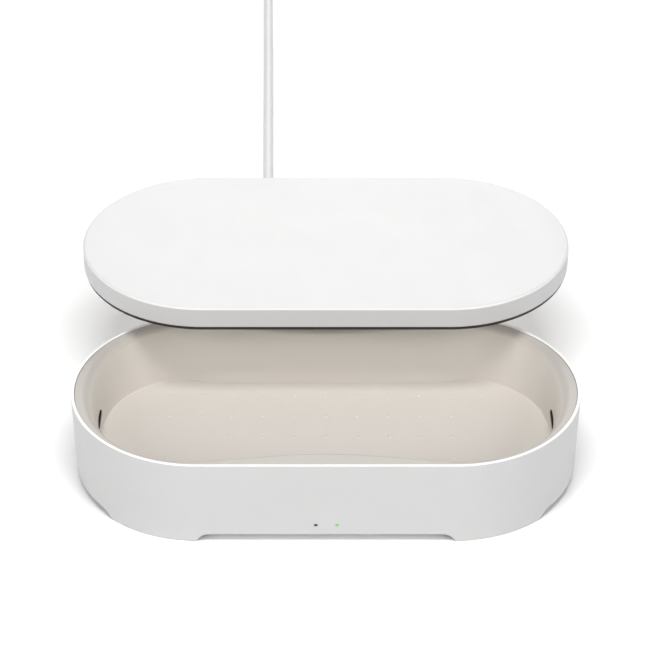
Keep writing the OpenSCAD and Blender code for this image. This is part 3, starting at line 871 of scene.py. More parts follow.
@dataclass
class PowerLead:
    """The lead: outlet sleeve, free stretch, coil, tie and plug, sizes in millimetres."""

    oval: Oval
    finishes: Finishes
    diameter: float = 5.5
    gap: float = 0.65
    inner_turn: float = 23.1
    layer_turns: float = 2.25
    climb_turns: float = 0.5
    ramp_turns: float = 0.4
    rings_per_turn: int = 40
    grip: Point = (22.0, 15.6, 8.2)
    boot: float = 9.0
    boot_ribs: Point = (1.4, 3.8, 6.2)
    tip: Point = (12.0, 12.0, 4.5)
    tip_wall: float = 0.35
    tie_width: float = 7.0
    tie_thick: float = 0.7
    tie_gap: float = 0.35
    stated_length: float = 1.5
    sleeve_walls: Place = (1.4, 0.5)
    sleeve_rim: float = 1.6
    collar: float = 2.0
    collar_round: float = 0.7
    ring_pitch: float = 3.8
    ring_groove: tuple[Point, ...] = (
        (0.2, 0.0, 0.12), (1.2, 0.55, 0.42), (1.2, 0.7, 0.7), (1.2, 0.7, 1.45), (1.4, 0.55, 1.7), (2.1, 0.1, 1.98),
        (2.3, 0.0, 2.15),
    )
    tie_round: float = 2.2
    tie_edge: float = 0.18
    grip_round: float = 3.0
    grip_edge: float = 0.6
    thumb_rest: Point = (1.6, 0.5, 0.35)
    tip_round: float = 0.5
    tip_window: Point = (2.0, 2.0, 12.0)
    contact: Point = (6.0, 1.1, 0.3)
    contact_pitch: float = 2.4
    route: tuple[Point, ...] = (
        (-30, 88, 10.25), (-30.1, 100, 9.85), (-30.3, 112, 8.4), (-30.5, 124, 6.1), (-30.7, 136, 3.7),
        (-31, 148, 1.7), (-31.2, 160, 0.5), (-31.5, 172, 0.1), (-31.8, 187, 0.1), (-32, 202, 0.1),
        (-32.3, 217, 0.1), (-32.5, 232, 0.1), (-32.8, 247, 0.1), (-33, 262, 0.1), (-33.3, 277, 0.1),
        (-33.6, 292, 0.1), (-33.8, 307, 0.1), (-34.1, 322, 0.1), (-34.4, 337, 0.1), (-34.6, 352, 0.1),
        (-34.9, 367, 0.1), (-35.2, 382, 0.1), (-35.4, 397, 0.1), (-35.7, 412, 0.1), (-36, 427, 0.1),
        (-36.3, 442, 0.1), (-36.6, 457, 0.1), (-36.9, 472, 0.1), (-37.2, 487, 0.2), (-37.5, 502, 0.4),
        (-37.8, 517, 0.7), (-38, 532, 1), (-38, 547, 1.05), (-38, 555, 1.05),
    )

    @property
    def pitch(self) -> float:
        """The distance between neighbouring turns."""
        return self.diameter + self.gap

    @property
    def outer_turn(self) -> float:
        """The radius of the coil's outermost turn."""
        return self.inner_turn + self.layer_turns * self.pitch

    @property
    def start(self) -> Vector:
        """Where the coil starts."""
        x, y, z = self.route[-1]
        return Vector((x, y, z + self.diameter / 2))

    @property
    def centre(self) -> Place:
        """The coil's middle."""
        return self.start.x + self.outer_turn, self.start.y + self.diameter

    @property
    def turns(self) -> float:
        """How many turns the coil has."""
        return 2 * self.layer_turns + self.climb_turns + self.ramp_turns

    def coil_radius(self, u: float) -> float:
        """Gives the coil's radius after u turns."""
        top = self.layer_turns + self.climb_turns
        last = top + self.layer_turns
        if u <= self.layer_turns:
            return self.outer_turn - self.pitch * u
        if u <= top:
            t = u - self.layer_turns
            return self.inner_turn - self.pitch * t + 2 * self.pitch * t * t
        if u <= last:
            return self.inner_turn + self.pitch * (u - top)
        swing = math.sin(math.pi / 2 * ease((u - last) / self.ramp_turns))
        return self.outer_turn - self.pitch * (u - last) + self.pitch * swing

    def coil_rise(self, u: float) -> float:
        """Gives the coil's height over its first turn after u turns."""
        top = self.layer_turns + self.climb_turns
        last = top + self.layer_turns
        if u <= self.layer_turns:
            return 0.0
        if u <= top:
            return self.pitch * ease((u - self.layer_turns) / self.climb_turns)
        if u <= last:
            return self.pitch
        t = ease((u - last) / self.ramp_turns)
        return self.pitch * math.cos(math.pi / 2 * t) + (self.grip[2] / 2 - self.start.z) * t

    def coil_point(self, u: float) -> Vector:
        """Gives the coil's middle line after u turns."""
        angle = math.radians(180 - 360 * u)
        r = self.coil_radius(u)
        x, y = self.centre
        return Vector((x + r * math.cos(angle), y + r * math.sin(angle), self.start.z + self.coil_rise(u)))

    @property
    def end_angle(self) -> float:
        """The direction in which the lead ends, in degrees."""
        return 90 - 360 * self.turns

    @property
    def end(self) -> Vector:
        """Where the plug starts."""
        a = math.radians(self.end_angle)
        return self.coil_point(self.turns) + self.diameter * Vector((math.cos(a), math.sin(a), 0))

    def build(self) -> None:
        lift = Vector((0, 0, self.diameter / 2))
        free = self._rounded([Vector(point) + lift for point in self.route])
        count = round(self.turns * self.rings_per_turn)
        coil = [self.coil_point(self.turns * i / count) for i in range(count + 1)]
        line = [*free, *coil, self.end]
        cord = self._tube("power_lead", line)
        self.finishes.place(cord, Body.BASE, Slot.CORD, "power_cord", "cord_coil")
        self._sleeve(line[0])
        pieces = [self._tie(), *self._plug()]
        exit_point = tuple(line[0] * MM)

    def _rounded(self, points: list[Vector]) -> list[Vector]:
        """Puts two more points between each pair, on a smooth curve through them all.

        Args:
            points: The points that were chosen.

        Returns:
            The finer line.
        """
        line = [points[0]]
        ends = [2 * points[0] - points[1], *points, 2 * points[-1] - points[-2]]
        for a, b, c, d in zip(ends, ends[1:], ends[2:], ends[3:], strict=False):
            for t in (1 / 3, 2 / 3, 1.0):
                curve = 2 * b + (c - a) * t + (2 * a - 5 * b + 4 * c - d) * t * t
                line.append((curve + (3 * b - a - 3 * c + d) * t * t * t) / 2)
        return line

    def _tube(self, name: str, line: list[Vector]) -> bpy.types.Object:
        """Makes the lead as a round curve.

        Args:
            name: The piece's name.
            line: Its middle line in millimetres.

        Returns:
            The curve object.
        """
        data = bpy.data.curves.new(name, "CURVE")
        data.dimensions = "3D"
        data.bevel_depth = self.diameter / 2 * MM
        data.bevel_resolution = 6
        data.use_fill_caps = True
        spline = data.splines.new("POLY")
        spline.points.add(len(line) - 1)
        for point, place in zip(spline.points, line, strict=True):
            point.co = (*(place * MM), 1.0)
        spline.use_smooth = True
        cord = bpy.data.objects.new(name, data)
        bpy.context.collection.objects.link(cord)
        return cord

    def _sleeve(self, outlet: Vector) -> None:
        """Builds the tapered sleeve with its rings where the lead leaves the wall.

        Args:
            outlet: The lead's first point, at the sleeve's end.
        """
        wall, wall_y, collar = self.oval.wall, self.oval.wall_radius(outlet.z), self.collar
        reach = outlet.y - wall_y
        neck, tip = (self.diameter / 2 + more for more in self.sleeve_walls)
        rim, inner = neck + self.sleeve_rim, -wall - 2
        profile: list[Place] = [(rim - 0.3, inner), (rim, inner + 0.3), (rim, -wall - 0.15),
                                (neck - 0.05, -wall - 0.15), (neck - 0.05, 0.15), (rim - 0.2, 0.15)]
        profile += arc((rim - self.collar_round, collar - self.collar_round), self.collar_round, 0, 90, 5)

        def taper(at: float) -> float:
            """Gives the sleeve's radius at a distance from the wall."""
            return mix(neck + 0.3, tip, (at - collar) / (reach - collar))

        for ring in range(int((reach - collar - 4) // self.ring_pitch)):
            d = collar + ring * self.ring_pitch
            profile += [(taper(d + at) - deep, d + along) for at, deep, along in self.ring_groove]
        profile += [(tip, reach - 0.4), (tip - 0.12, reach - 0.12), (tip - 0.4, reach)]
        sleeve = self.oval.turn("outlet_sleeve", profile, False, 48, 0, 0)
        settle(sleeve, (outlet.x, wall_y, outlet.z), (-90, 0, 0))
        smooth(sleeve, 50)
        self.finishes.place(sleeve, Body.BASE, Slot.CORD, "strain_relief")

    def _tie(self) -> bpy.types.Object:
        """Builds the tape that holds the coil's turns.

        Returns:
            The tie.
        """
        x, y = self.centre
        clear = self.diameter / 2 + self.tie_gap
        low_y, high_y = self.inner_turn - self.pitch / 8 - clear, self.outer_turn + clear
        low_z, high_z = self.start.z - clear, self.start.z + self.pitch + clear
        middle = (x, y - (low_y + high_y) / 2, (low_z + high_z) / 2)
        size = (self.tie_width, high_y - low_y, high_z - low_z)
        tie = FlatTube("cord_tie_band", middle, size, self.tie_round, 6, self.tie_thick, True).make()
        run_modifier(tie, "BEVEL", {"width": self.tie_edge * MM, "segments": 2, "limit_method": "ANGLE"})
        smooth(tie, 40)
        self.finishes.place(tie, Body.BASE, Slot.TIE, "cord_tie")
        return tie

    def _plug(self) -> list[bpy.types.Object]:
        """Builds the plug's body, metal shell and tongue.

        Returns:
            The plug's pieces.
        """
        dressed = (
            (join("plug_body_moulded", [self._grip(), self._boot()]), Slot.PLUG, "plug_body"),
            (self._tip_shell(), Slot.STEEL, "plug_shell"),
            (self._tongue(), Slot.PLUG, "plug_tongue"),
        )
        for piece, slot, node in dressed:
            settle(piece, tuple(self.end), (0, 0, self.end_angle))
            self.finishes.place(piece, Body.BASE, slot, node)
        return [piece for piece, _, _ in dressed]

    def _grip(self) -> bpy.types.Object:
        """Builds the plug's grip with a sunk thumb rest on both faces.

        Returns:
            The grip, along X from the boot's end.
        """
        grip = block("plug_grip", (self.boot + self.grip[0] / 2, 0, 0), self.grip)
        margin, slope, depth = self.thumb_rest
        with editing(grip):
            choose(grip, Pick.EDGE, along_x)
            bevel(self.grip_round, 6)
            choose(grip, Pick.FACE, lambda f: abs(f.normal.x) > 0.9)
            bevel(self.grip_edge, 3)
            choose(grip, Pick.FACE, lambda f: abs(f.normal.z) > 0.99 and f.calc_area() > 80 * MM * MM)
            bpy.ops.mesh.inset(thickness=margin * MM, depth=0)
            bpy.ops.mesh.inset(thickness=slope * MM, depth=-depth * MM)
        smooth(grip, 40)
        return grip

    def _boot(self) -> bpy.types.Object:
        """Builds the ribbed boot between the lead and the grip.

        Returns:
            The boot, along X from the lead's end.
        """
        tip, end = self.diameter / 2 + 0.3, self.grip[2] / 2 - 0.4
        profile: list[Place] = [(tip - 0.25, 0.0), (tip, 0.25)]
        for d in self.boot_ribs:
            r = mix(tip, end, d / self.boot)
            profile += [(r, d), (r - 0.45, d + 0.25), (r - 0.4, d + 0.85), (r + 0.12, d + 1.1)]
        profile += [(end, self.boot - 0.2), (end - 0.2, self.boot + 0.3)]
        boot = self.oval.turn("plug_boot", profile, False, 40, 0, 0)
        settle(boot, (0, 0, 0), (0, 90, 0))
        smooth(boot, 50)
        return boot

    def _tip_shell(self) -> bpy.types.Object:
        """Builds the plug's folded metal shell with its two pairs of windows.

        Returns:
            The shell, along X from the grip's end.
        """
        length, width, _ = self.tip
        start = self.boot + self.grip[0]
        middle = (start + length / 2, 0, 0)
        shell = FlatTube("plug_metal_shell", middle, self.tip, self.tip_round, 4, self.tip_wall, False).make()
        for side in SIDES:
            carve(shell, block("shell_window", (start + length * 0.45 + 1, side * width * 0.22, 0), self.tip_window))
        smooth(shell, 40)
        return shell

    def _tongue(self) -> bpy.types.Object:
        """Builds the plug's tongue with four contact grooves.

        Returns:
            The tongue, along X from the grip's end.
        """
        length, width, thick = self.tip[0] - 1.2, self.tip[1] - 2 * self.tip_wall, self.tip[2] / 2 - self.tip_wall
        start = self.boot + self.grip[0]
        tongue = block("plug_contact_tongue", (start + length / 2, 0, thick / 2 - 0.1), (length, width, thick))
        with editing(tongue):
            choose(tongue, Pick.EDGE, lambda e: all(v.co.x > (start + length - 0.01) * MM for v in e.verts))
            bevel(0.4, 2)
        for i in range(4):
            at = (start + length - 3.5, (i - 1.5) * self.contact_pitch, -0.1)
            carve(tongue, block("contact_groove", at, self.contact))
        smooth(tongue, 30)
        return tongue


@dataclass
class Housing:
    """The white wall with its rim, its cut-outs and the two marks, sizes in millimetres."""

    oval: Oval
    finishes: Finishes
    skirt: float = 0.2
    edge: float = 0.25
    rim_round: float = 0.4
    notch_height: float = 4.1
    long_notch: float = 61.0
    end_notch: float = 44.9
    notch_slope: float = 50.0
    notch_round: float = 6.0
    mark_height: float = 9.75
    mark_size: Place = (2.0, 1.5)
    marks: tuple[tuple[str, float, Slot, str], ...] = (
        ("status_window", 5.15, Slot.GREEN, "status_light"), ("standby_window", -4.7, Slot.DARK, "standby_light"),
    )
    mark_gap: float = 0.1
    mark_depth: float = 2.9
    mark_sink: float = 0.03
    mark_flange: Place = (0.9, 1.2)
    mark_hole_depth: float = 6.0
    mark_hole_start: float = -58.0
    outlet: Point = (-30.0, 57.0, 13.0)
    outlet_hole: Point = (8.31, 8.3, 8.0)
    edge_ends: float = 1.5
    lift_ends: float = 2.2
    lifted_top: float = 5.7
    wall_rows: tuple[float, ...] = (8, 12, 18, 25, 32, 38, 42)
    flank_columns: tuple[float, ...] = (
        0.17, 0.9, 1.64, 2.0, 2.4, 2.8, 3.2, 3.6, 4.0, 4.4, 4.8, 5.2, 5.6, 6.24, 6.9,
    )

    def notch_at(self, distance: float, half_width: float) -> float:
        """Gives how high a cut-out is at a distance from its middle.

        Args:
            distance: The distance along the wall's edge.
            half_width: Half the cut-out's width at the table.

        Returns:
            Its height there.
        """
        slope = math.radians(self.notch_slope)
        corner = half_width - self.notch_height / math.tan(slope)
        reach = self.notch_round * math.tan(slope / 2)
        d = abs(distance)
        if d <= corner - reach:
            return self.notch_height
        if d <= corner + reach * math.cos(slope):
            drop = d - (corner - reach)
            return self.notch_height - self.notch_round + math.sqrt(self.notch_round ** 2 - drop ** 2)
        return max(0.0, (half_width - d) * math.tan(slope))

    def lower_edge(self, x: float, y: float) -> float:
        """Gives the height of the wall's lower edge at a place on the outline."""
        return max(self.skirt, self.notch_at(x, self.long_notch), self.notch_at(y, self.end_notch))

    def build(self) -> None:
        """Builds the wall and the two marks."""
        wall = self._wall()
        hole = self.oval.bar("outlet_hole", *self.outlet_hole)
        settle(hole, self.outlet, (-90, 0, 0))
        carve(wall, hole)
        for _, x, _, _ in self.marks:
            hole = self.oval.bar("mark_hole", *self.mark_size, self.mark_hole_depth)
            settle(hole, (x, self.mark_hole_start, self.mark_height), (90, 0, 0))
            carve(wall, hole)
        smooth(wall, 30)
        self.finishes.place(wall, Body.BASE, Slot.SHELL, "outer_shell")
        for mark in self.marks:
            self._mark(*mark)

    def _wall(self) -> bpy.types.Object:
        """Builds the wall with rounded edges, its lower edge raised over the cut-outs.

        Returns:
            The wall.
        """
        oval, e = self.oval, self.edge
        top, thick = oval.height, oval.wall
        outer = [*self.wall_rows, top - self.rim_round - 0.3]
        low = self.skirt
        foot = oval.wall_radius(low)
        profile: list[Place] = [(foot - thick + e, low), (foot - e + 0.01, low)]
        profile += [(foot - e + e * math.sin(a), low + e - e * math.cos(a)) for a in (0.4, 0.8, 1.2, math.pi / 2)]
        profile += [(oval.wall_radius(z), z) for z in (2.0, *outer)]
        profile += arc((oval.radius - self.rim_round, top - self.rim_round), self.rim_round, 0, 90, 6)
        profile += arc((oval.inner + 0.3, top - 0.3), 0.3, 90, 180, 5)
        profile += [(oval.wall_radius(z) - thick, z) for z in (*reversed(outer[:-1]), 2.0)]
        profile += [(foot - thick, low + e), (foot - thick + 0.35 * e, low + 0.3 * e)]
        profile += [profile[0]]
        wall = oval.turn("housing_wall", profile, True)
        self._cut_columns(wall)
        move_points(wall, self._raise_edge)
        return wall

    def _cut_columns(self, wall: bpy.types.Object) -> None:
        """Adds columns of points where the cut-outs' flanks rise.

        Args:
            wall: The wall.
        """
        with editing(wall):
            for normal, half_width in (((1, 0, 0), self.long_notch), ((0, 1, 0), self.end_notch)):
                for step in self.flank_columns:
                    for side in SIDES:
                        at = side * (half_width - step) * MM
                        bpy.ops.mesh.select_all(action="SELECT")
                        bpy.ops.mesh.bisect(plane_co=(at * normal[0], at * normal[1], 0), plane_no=normal)

    def _raise_edge(self, co: Vector) -> Vector:
        """Lifts the points of the lower edge to the cut-outs' outline.

        Args:
            co: A point of the wall in metres.

        Returns:
            Its new place.
        """
        z = co.z / MM
        if z > self.lift_ends:
            return co
        lift = self.lower_edge(co.x / MM, co.y / MM) - self.skirt
        new = z + lift if z < self.edge_ends else mix(z, self.lifted_top, lift / (self.notch_height - self.skirt))
        grow = (self.oval.wall_radius(new) - self.oval.wall_radius(z)) * MM
        half = self.oval.half * MM
        out = Vector((co.x - max(-half, min(half, co.x)), co.y, 0)).normalized()
        return Vector((co.x + out.x * grow, co.y + out.y * grow, new * MM))

    def _mark(self, name: str, x: float, slot: Slot, node: str) -> None:
        """Builds one light window that fills its slot in the wall.

        Args:
            name: The piece's name.
            x: Its place along the front.
            slot: The record's slot.
            node: The CAD node that it replaces.
        """
        length, height = self.mark_size
        face = self.oval.wall_radius(self.mark_height)
        gap, (more, thick) = self.mark_gap, self.mark_flange
        pipe = self.oval.bar(name, length - gap, height - gap, self.mark_depth, 0.25)
        settle(pipe, (x, self.mark_depth + self.mark_sink - face, self.mark_height), (90, 0, 0))
        flange = self.oval.bar(name + "_flange", length + more, height + more, thick, 0.1)
        settle(flange, (x, self.oval.wall + 1.4 - face, self.mark_height), (90, 0, 0))
        mark = join(name, [pipe, flange])
        smooth(mark, 40)
        self.finishes.place(mark, Body.BASE, slot, node)


@dataclass
class Tub:
    """The beige tub with its ledge, bulges, end slots and floor pins, sizes in millimetres."""

    oval: Oval
    finishes: Finishes
    floor: float = 15.5
    thick: float = 2.0
    lip_drop: float = 0.6
    lip_inset: float = 0.15
    corner_inset: float = 8.95
    side_inset: float = 14.15
    end_inset: float = 11.1
    corner_ledge: float = 3.9
    side_ledge: float = 11.0
    end_ledge: float = 8.2
    ledge_round: float = 2.8
    end_round: float = 5.8
    fillet: float = 0.4
    fall: float = 0.4
    pin_pitch: Place = (15.4, 17.2)
    pin_margin: float = 11.0
    pin_radius: float = 0.7
    pin_height: float = 0.3
    window: Place = (14.0, 3.0)
    window_z: float = 26.0
    pane_thick: float = 3.2
    pane_face: float = 108.75
    end_lean: float = 20.0
    side_fade: Place = (-10.0, 28.0)
    end_fade: Place = (4.0, 44.0)
    ledge_side_fade: float = 18.0
    ledge_end_fade: Place = (5.0, 50.0)
    pane_gap: float = 0.3
    pane_round: float = 0.3
    slot_depth: float = 1.5
    slot_reach: float = 8.0

    @property
    def lip(self) -> float:
        """The height of the tub's lip."""
        return self.oval.height - self.lip_drop

    def _bulge(self, distance: float, full: float, gone: float) -> float:
        """Gives how strongly a bulge shows at a distance from its middle."""
        return ease((gone - abs(distance)) / (gone - full))

    def shape_at(self, spot: Place, way: Place) -> tuple[float, float, float, float]:
        """Gives the wall's shape at a place round the oval.

        Args:
            spot: A point on the oval's middle line.
            way: The way straight outwards from it.

        Returns:
            The inset of the floor's edge, the ledge's width, the radius of its edge and how far this is an end.
        """
        x, y = spot[0] + way[0] * self.oval.inner, way[1] * self.oval.inner
        half = self.oval.half
        at_end = 0.0 if abs(way[0]) < 0.0001 else 1.0
        side = self._bulge(x, half + self.side_fade[0], half + self.side_fade[1])
        end = self._bulge(y, *self.end_fade) * at_end
        foot = mix(self.corner_inset, self.side_inset, side) + (self.end_inset - self.corner_inset) * end
        ledge_side = self._bulge(x, 0, half + self.ledge_side_fade)
        ledge_end = self._bulge(y, *self.ledge_end_fade) * at_end
        ledge = mix(self.corner_ledge, self.side_ledge, ledge_side)
        ledge += (self.end_ledge - self.corner_ledge) * ledge_end
        return foot, ledge, mix(self.ledge_round, self.end_round, ledge_end), ledge_end

    def section(self, spot: Place, way: Place) -> list[Place]:
        """Gives one section of the tub from the floor over the lip and down outside.

        Args:
            spot: A point on the oval's middle line.
            way: The way straight outwards from it.

        Returns:
            Inset and height of each ring.
        """
        foot, ledge, r, end = self.shape_at(spot, way)
        low, high = self.floor, self.lip - self.fall
        turns = [math.radians(90 - 10 * i) for i in range(10)]
        fillet = [(foot + self.fillet * (1 - math.cos(b)), low + self.fillet * (1 - math.sin(b))) for b in turns]
        first = 90 - self.end_lean * end
        roll = [math.radians(first * (1 - i / 9)) for i in range(10)]
        edge = [(ledge - r * (1 - math.sin(b)), high - r * (1 - math.cos(b))) for b in roll]
        start, stop = fillet[-1], edge[0]
        wall = [(mix(start[0], stop[0], t ** (1 + 2 * end)), mix(start[1], stop[1], t))
                for t in (0.15, 0.3, 0.45, 0.6, 0.75, 0.9)]
        rise = [(mix(edge[-1][0], self.lip_inset, t), mix(high, self.lip, t)) for t in (0.25, 0.5, 0.75, 0.94)]
        back = max(0.2, r - self.thick)
        outside = [(self.lip_inset, self.lip - 0.12), (self.lip_inset, self.lip - self.thick)]
        outside += [(ledge - r + back * math.sin(b), high - r + back * math.cos(b)) for b in reversed(turns[::3])]
        outside += [(foot - self.thick, low - self.thick)]
        floor = [(foot + self.fillet + 3.0, low), (foot + self.fillet + 0.8, low)]
        return [*floor, *fillet, *wall, *edge, *rise, *outside]

    def build(self) -> None:
        """Builds the tub, its pins and the panes in its ends."""
        liner = self._liner()
        length, height = self.window
        for side in SIDES:
            slot = self.oval.bar("window_slot", length, height, self.slot_reach)
            settle(slot, (side * (self.pane_face - self.slot_depth), 0, self.window_z), (90, 0, 90 * side))
            carve(liner, slot)
        smooth(liner, 34)
        self.finishes.place(liner, Body.BASE, Slot.TUB, "inner_tub")
        self._pins()
        gap = self.pane_gap
        for side, name in zip(SIDES, ("left", "right"), strict=True):
            pane = self.oval.bar(f"window_pane_{name}", length - gap, height - gap, self.pane_thick, self.pane_round)
            settle(pane, (side * (self.pane_face + self.pane_thick), 0, self.window_z), (90, 0, -90 * side))
            smooth(pane, 40)
            self.finishes.place(pane, Body.BASE, Slot.PANE, f"uv_window_{name}")

    def _liner(self) -> bpy.types.Object:
        """Builds the tub's skin: rings are turned, pulled apart, then laid on its sections.

        Returns:
            The skin.
        """
        rings = len(self.section((0, 0), (0, 1)))
        plain = [(10.0 + ring * 0.5, float(ring)) for ring in range(rings)]
        liner = self.oval.turn("tub_liner", plain, False)
        half = self.oval.half * MM

        def lay(co: Vector) -> Vector:
            """Puts a point of a plain ring on the tub's section there."""
            middle = max(-half, min(half, co.x))
            way = Vector((co.x - middle, co.y, 0)).normalized()
            inset, z = self.section((middle / MM, 0), (way.x, way.y))[round(co.z / MM)]
            reach = (self.oval.inner - inset) * MM
            return Vector((middle + way.x * reach, way.y * reach, z * MM))

        move_points(liner, lay)
        with editing(liner):
            face_out()
        return liner

    def _pins(self) -> None:
        """Builds the rows of tiny pins on the floor from one pin."""
        r, h = self.pin_radius, self.pin_height
        profile = [
            (r * 1.3, -0.1), (r * 1.25, 0.02), (r, 0.12), (r * 0.8, h * 0.75), (r * 0.55, h * 0.96), (r * 0.2, h),
        ]
        pin = self.oval.turn("floor_pin", profile, False, 12, 0, 0)
        along, across = self.pin_pitch
        rows = int((self.oval.inner - self.side_inset - self.pin_margin) // across)
        reach_r = self.oval.inner - self.corner_inset - self.pin_margin
        reach_x = self.oval.half + self.oval.inner - self.end_inset - self.pin_margin
        pins = []
        for y in (row * across for row in range(-rows, rows + 1)):
            reach = min(self.oval.half + math.sqrt(max(0.0, reach_r ** 2 - y ** 2)), reach_x)
            count = int(reach // along)
            pins += [copy_to(pin, (column * along, y, self.floor)) for column in range(-count, count + 1)]
        bpy.data.objects.remove(pin, do_unlink=True)
        grid = join("floor_pin_grid", pins)
        smooth(grid, 60)
        self.finishes.place(grid, Body.BASE, Slot.TUB)


@dataclass
class Underside:
    """The base pan, its foot ring and its screws, sizes in millimetres."""

    oval: Oval
    finishes: Finishes
    flange: float = 5.2
    thick: float = 1.8
    plinth: float = 1.2
    plinth_inset: float = 11.0
    slope: float = 1.5
    groove: float = 0.8
    foot_inset: float = 14.5
    foot_width: float = 8.0
    screw: Place = (64.0, 28.0)
    bore: float = 2.8
    head_height: float = 1.9
    gap: float = 0.25
    groove_gap: float = 0.15

    def build(self) -> None:
        """Builds the pan and the foot ring, and dresses the screws."""
        oval = self.oval
        out_r = oval.wall_radius(self.flange) - oval.wall - self.gap
        slope_r = oval.radius - self.plinth_inset
        foot_out = oval.radius - self.foot_inset
        foot_in = foot_out - self.foot_width
        low, high, t = self.plinth, self.flange, self.thick
        top, base_r, gap = low + self.groove, slope_r - self.slope, self.groove_gap
        profile = [
            (1.0, low), (foot_in - 1.2, low), (foot_in - 0.4, low), (foot_in - gap, low + 0.2), (foot_in - gap, top),
            (foot_out + gap, top), (foot_out + gap, low + 0.2), (foot_out + 0.4, low),
            (base_r - 0.4, low), (base_r - 0.1, low + 0.08), (base_r + 0.12, low + 0.3), (slope_r - 0.2, high - 0.5),
            (slope_r - 0.02, high - 0.12), (slope_r + 0.3, high), (out_r - 0.3, high), (out_r, high + 0.3),
            (out_r, high + t - 0.2), (out_r - 0.2, high + t), (slope_r - t, high + t), (base_r - t, low + t),
            (1.0, low + t),
        ]
        pan = oval.turn("base_plate", profile, False, cuts=5)
        for x, y in product(SIDES, SIDES):
            bore = oval.turn("screw_bore", [(self.bore, -1), (self.bore, low + self.head_height)], False, 32, 0, 0)
            settle(bore, (x * self.screw[0], y * self.screw[1], 0))
            carve(pan, bore)
        smooth(pan, 34)
        self.finishes.place(pan, Body.BASE, Slot.PAN, "base_pan")
        ring = [(foot_in + 0.9, 0.0), (foot_in + 1.5, 0.0), (foot_out - 1.5, 0.0), (foot_out - 0.5, 0.0)]
        ring += arc((foot_out - 0.5, 0.5), 0.5, -60, 0, 4)
        ring += [(foot_out, top), (foot_in, top)]
        ring += arc((foot_in + 0.5, 0.5), 0.5, 180, 270, 5)
        ring[0] = ring[-1]
        foot = oval.turn("foot_ring_rubber", ring, True, cuts=5)
        smooth(foot, 40)
        self.finishes.place(foot, Body.BASE, Slot.RUBBER, "foot_ring")
        self.finishes.dress_node("base_screws", Slot.STEEL)


@dataclass
class Lid:
    """The lid where the photo shows it: cap, panel below and gasket, sizes in millimetres."""

    oval: Oval
    finishes: Finishes
    thick: float = 10.7
    wall: float = 2.0
    top: float = 2.0
    edge: float = 1.0
    gasket: Place = (2.9, 2.0)
    gasket_inset: float = 0.5
    panel: float = 1.8
    at: Point = (0.0, 91.2, 60.2)
    lip_round: float = 0.2
    seal_round: float = 0.5
    panel_gap: float = 0.15

    def build(self) -> None:
        """Builds the lid's three pieces."""
        r, e = self.oval.radius, self.edge
        inner = r - self.wall
        low, seal_r = self.lip_round, self.seal_round
        profile: list[Place] = [(1.0, self.thick - self.top), (inner, self.thick - self.top), (inner, 0.15)]
        profile += [(inner + 0.15, 0.0), (r - low, 0.0)]
        profile += arc((r - low, low), low, -60, 0, 3)
        profile += [(r, 0.8), (r, self.thick / 2), (r, self.thick - e - 0.3)]
        profile += arc((r - e, self.thick - e), e, 0, 90, 10)
        profile += [(r - e - 0.8, self.thick), (r - 12, self.thick), (1.0, self.thick)]
        cap = self.oval.turn("lid_cap", profile, False)
        panel_r = inner - self.panel_gap
        rows = [(1.0, 0.0), (panel_r - 1.2, 0.0), (panel_r - 0.3, 0.0), (panel_r - 0.08, 0.08), (panel_r, 0.3),
                (panel_r, self.panel), (1.0, self.panel)]
        panel = self.oval.turn("lid_underside", rows, False, cuts=5)
        out_r, in_r = r - self.gasket_inset, r - self.gasket_inset - self.gasket[0]
        foot = -self.gasket[1]
        lips = [*arc((out_r - seal_r, foot + seal_r), seal_r, -90, 0, 5), (out_r, 0.0), (in_r, 0.0)]
        lips += arc((in_r + seal_r, foot + seal_r), seal_r, 180, 270, 5)
        lips += [lips[0]]
        seal = self.oval.turn("lid_seal", lips, True, cuts=5)
        dressed = ((cap, Slot.SHELL, "lid_shell"), (panel, Slot.TUB, "lid_panel"), (seal, Slot.RUBBER, "lid_gasket"))
        for piece, slot, node in dressed:
            settle(piece, self.at)
            smooth(piece, 34)
            self.finishes.place(piece, Body.LID, slot, node)


@dataclass
class Works:
    """What sits inside, carried over from the CAD model with its own finishes."""

    finishes: Finishes
    nodes: tuple[tuple[str, Slot], ...] = (
        ("main_board", Slot.BOARD), ("board_parts", Slot.CHIP), ("indicator_board", Slot.BOARD),
        ("internal_leads", Slot.LEAD), ("uv_board_left", Slot.BOARD), ("uv_board_right", Slot.BOARD),
        ("uv_lamps_left", Slot.LAMP), ("uv_lamps_right", Slot.LAMP), ("lid_sensor", Slot.CHIP),
        ("body_magnets", Slot.NICKEL), ("lid_magnets", Slot.NICKEL),
    )

    def build(self) -> None:
        """Dresses the nodes."""
        for node, slot in self.nodes:
            self.finishes.dress_node(node, slot)


def aimed(name: str, data: bpy.types.ID, at: Point, aim: Point) -> bpy.types.Object:
    """Puts a camera or a light in its place.

    Args:
        name: The object's name.
        data: The camera or the light.
        at: Its place, in metres.
        aim: The point that it looks at, in metres.

    Returns:
        The object.
    """
    thing = bpy.data.objects.new(name, data)
    bpy.context.collection.objects.link(thing)
    thing.location = at
    thing.rotation_euler = (Vector(aim) - Vector(at)).to_track_quat("-Z", "Y").to_euler()
    return thing


@dataclass(frozen=True)
class Softbox:
    """One soft studio light, sizes in metres."""

    name: str
    at: Point
    power: float
    aim: Point = (0.0, 0.02, 0.03)
    size: Place = (0.9, 0.7)


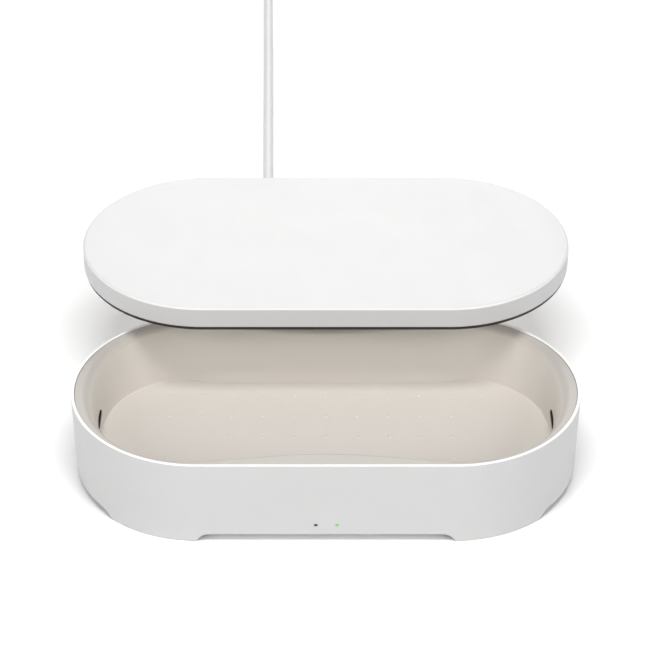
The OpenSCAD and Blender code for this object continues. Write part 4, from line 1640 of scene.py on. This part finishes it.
@dataclass
class Studio:
    """The camera, the floor, the lights and the pale surroundings."""

    eye: Point = (-0.0004, -0.9753, 0.7402)
    target: Point = (-0.00042, 0.0829, 0.025)
    lens: float = 138.46
    sensor: float = 36.0
    surroundings: float = 0.12
    floor_size: float = 12.0
    softboxes: tuple[Softbox, ...] = (
        Softbox("zenith_softbox", (0.0, -0.55, 1.74), 20.3, size=(0.9, 0.5)),
        Softbox("front_right_softbox", (1.079, -1.059, 0.984), 11.2),
        Softbox("front_left_softbox", (-1.079, -1.059, 0.984), 9.2),
        Softbox("low_left_softbox", (-1.245, -1.225, 0.404), 3.0),
        Softbox("back_softbox", (0.0, 1.547, 0.984), 14.0),
    )

    def camera(self) -> None:
        """Makes the camera at the photo's angle."""
        data = bpy.data.cameras.new("photo_camera")
        data.lens = self.lens
        data.sensor_width = self.sensor
        data.clip_start, data.clip_end = 0.05, 20.0
        bpy.context.scene.camera = aimed("photo_camera", data, self.eye, self.target)

    def build(self) -> None:
        """Makes the floor, the lights and the surroundings."""
        self._floor()
        for box in self.softboxes:
            data = bpy.data.lights.new(box.name, "AREA")
            data.shape = "RECTANGLE"
            data.size, data.size_y = box.size
            data.energy = box.power
            aimed(box.name, data, box.at, box.aim)
        world = bpy.data.worlds.new("pale_surroundings")
        world.use_nodes = True
        back = world.node_tree.nodes["Background"]
        back.inputs["Color"].default_value = (1.0, 1.0, 1.0, 1.0)
        back.inputs["Strength"].default_value = self.surroundings
        bpy.context.scene.world = world
        bpy.context.scene.view_settings.view_transform = "Standard"

    def _floor(self) -> None:
        """Makes the plain pale floor."""
        bpy.ops.object.select_all(action="DESELECT")
        bpy.ops.mesh.primitive_plane_add(size=self.floor_size, location=(0, 0, 0))
        floor = adopt("studio_floor")
        graph = Graph("pale_paper")
        cloud = graph.noise(3, 2)
        colour = graph.tint(cloud, (0.955, 0.955, 0.955, 1), (0.965, 0.965, 0.965, 1))
        material = graph.close({"Base Color": colour, "Roughness": 0.9, "Specular IOR Level": 0.1})
        floor.data.materials.append(material)


def main() -> None:
    """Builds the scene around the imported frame."""
    logging.basicConfig(level=logging.INFO, format="%(name)s: %(message)s")
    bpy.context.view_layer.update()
    bpy.ops.object.select_all(action="DESELECT")
    studio = Studio()
    studio.camera()
    finishes = Finishes()
    oval = Oval()
    PowerLead(oval, finishes).build()
    Housing(oval, finishes).build()
    Tub(oval, finishes).build()
    Underside(oval, finishes).build()
    Lid(oval, finishes).build()
    Works(finishes).build()
    studio.build()
    bpy.context.view_layer.update()


if __name__ == "__main__":
    main()
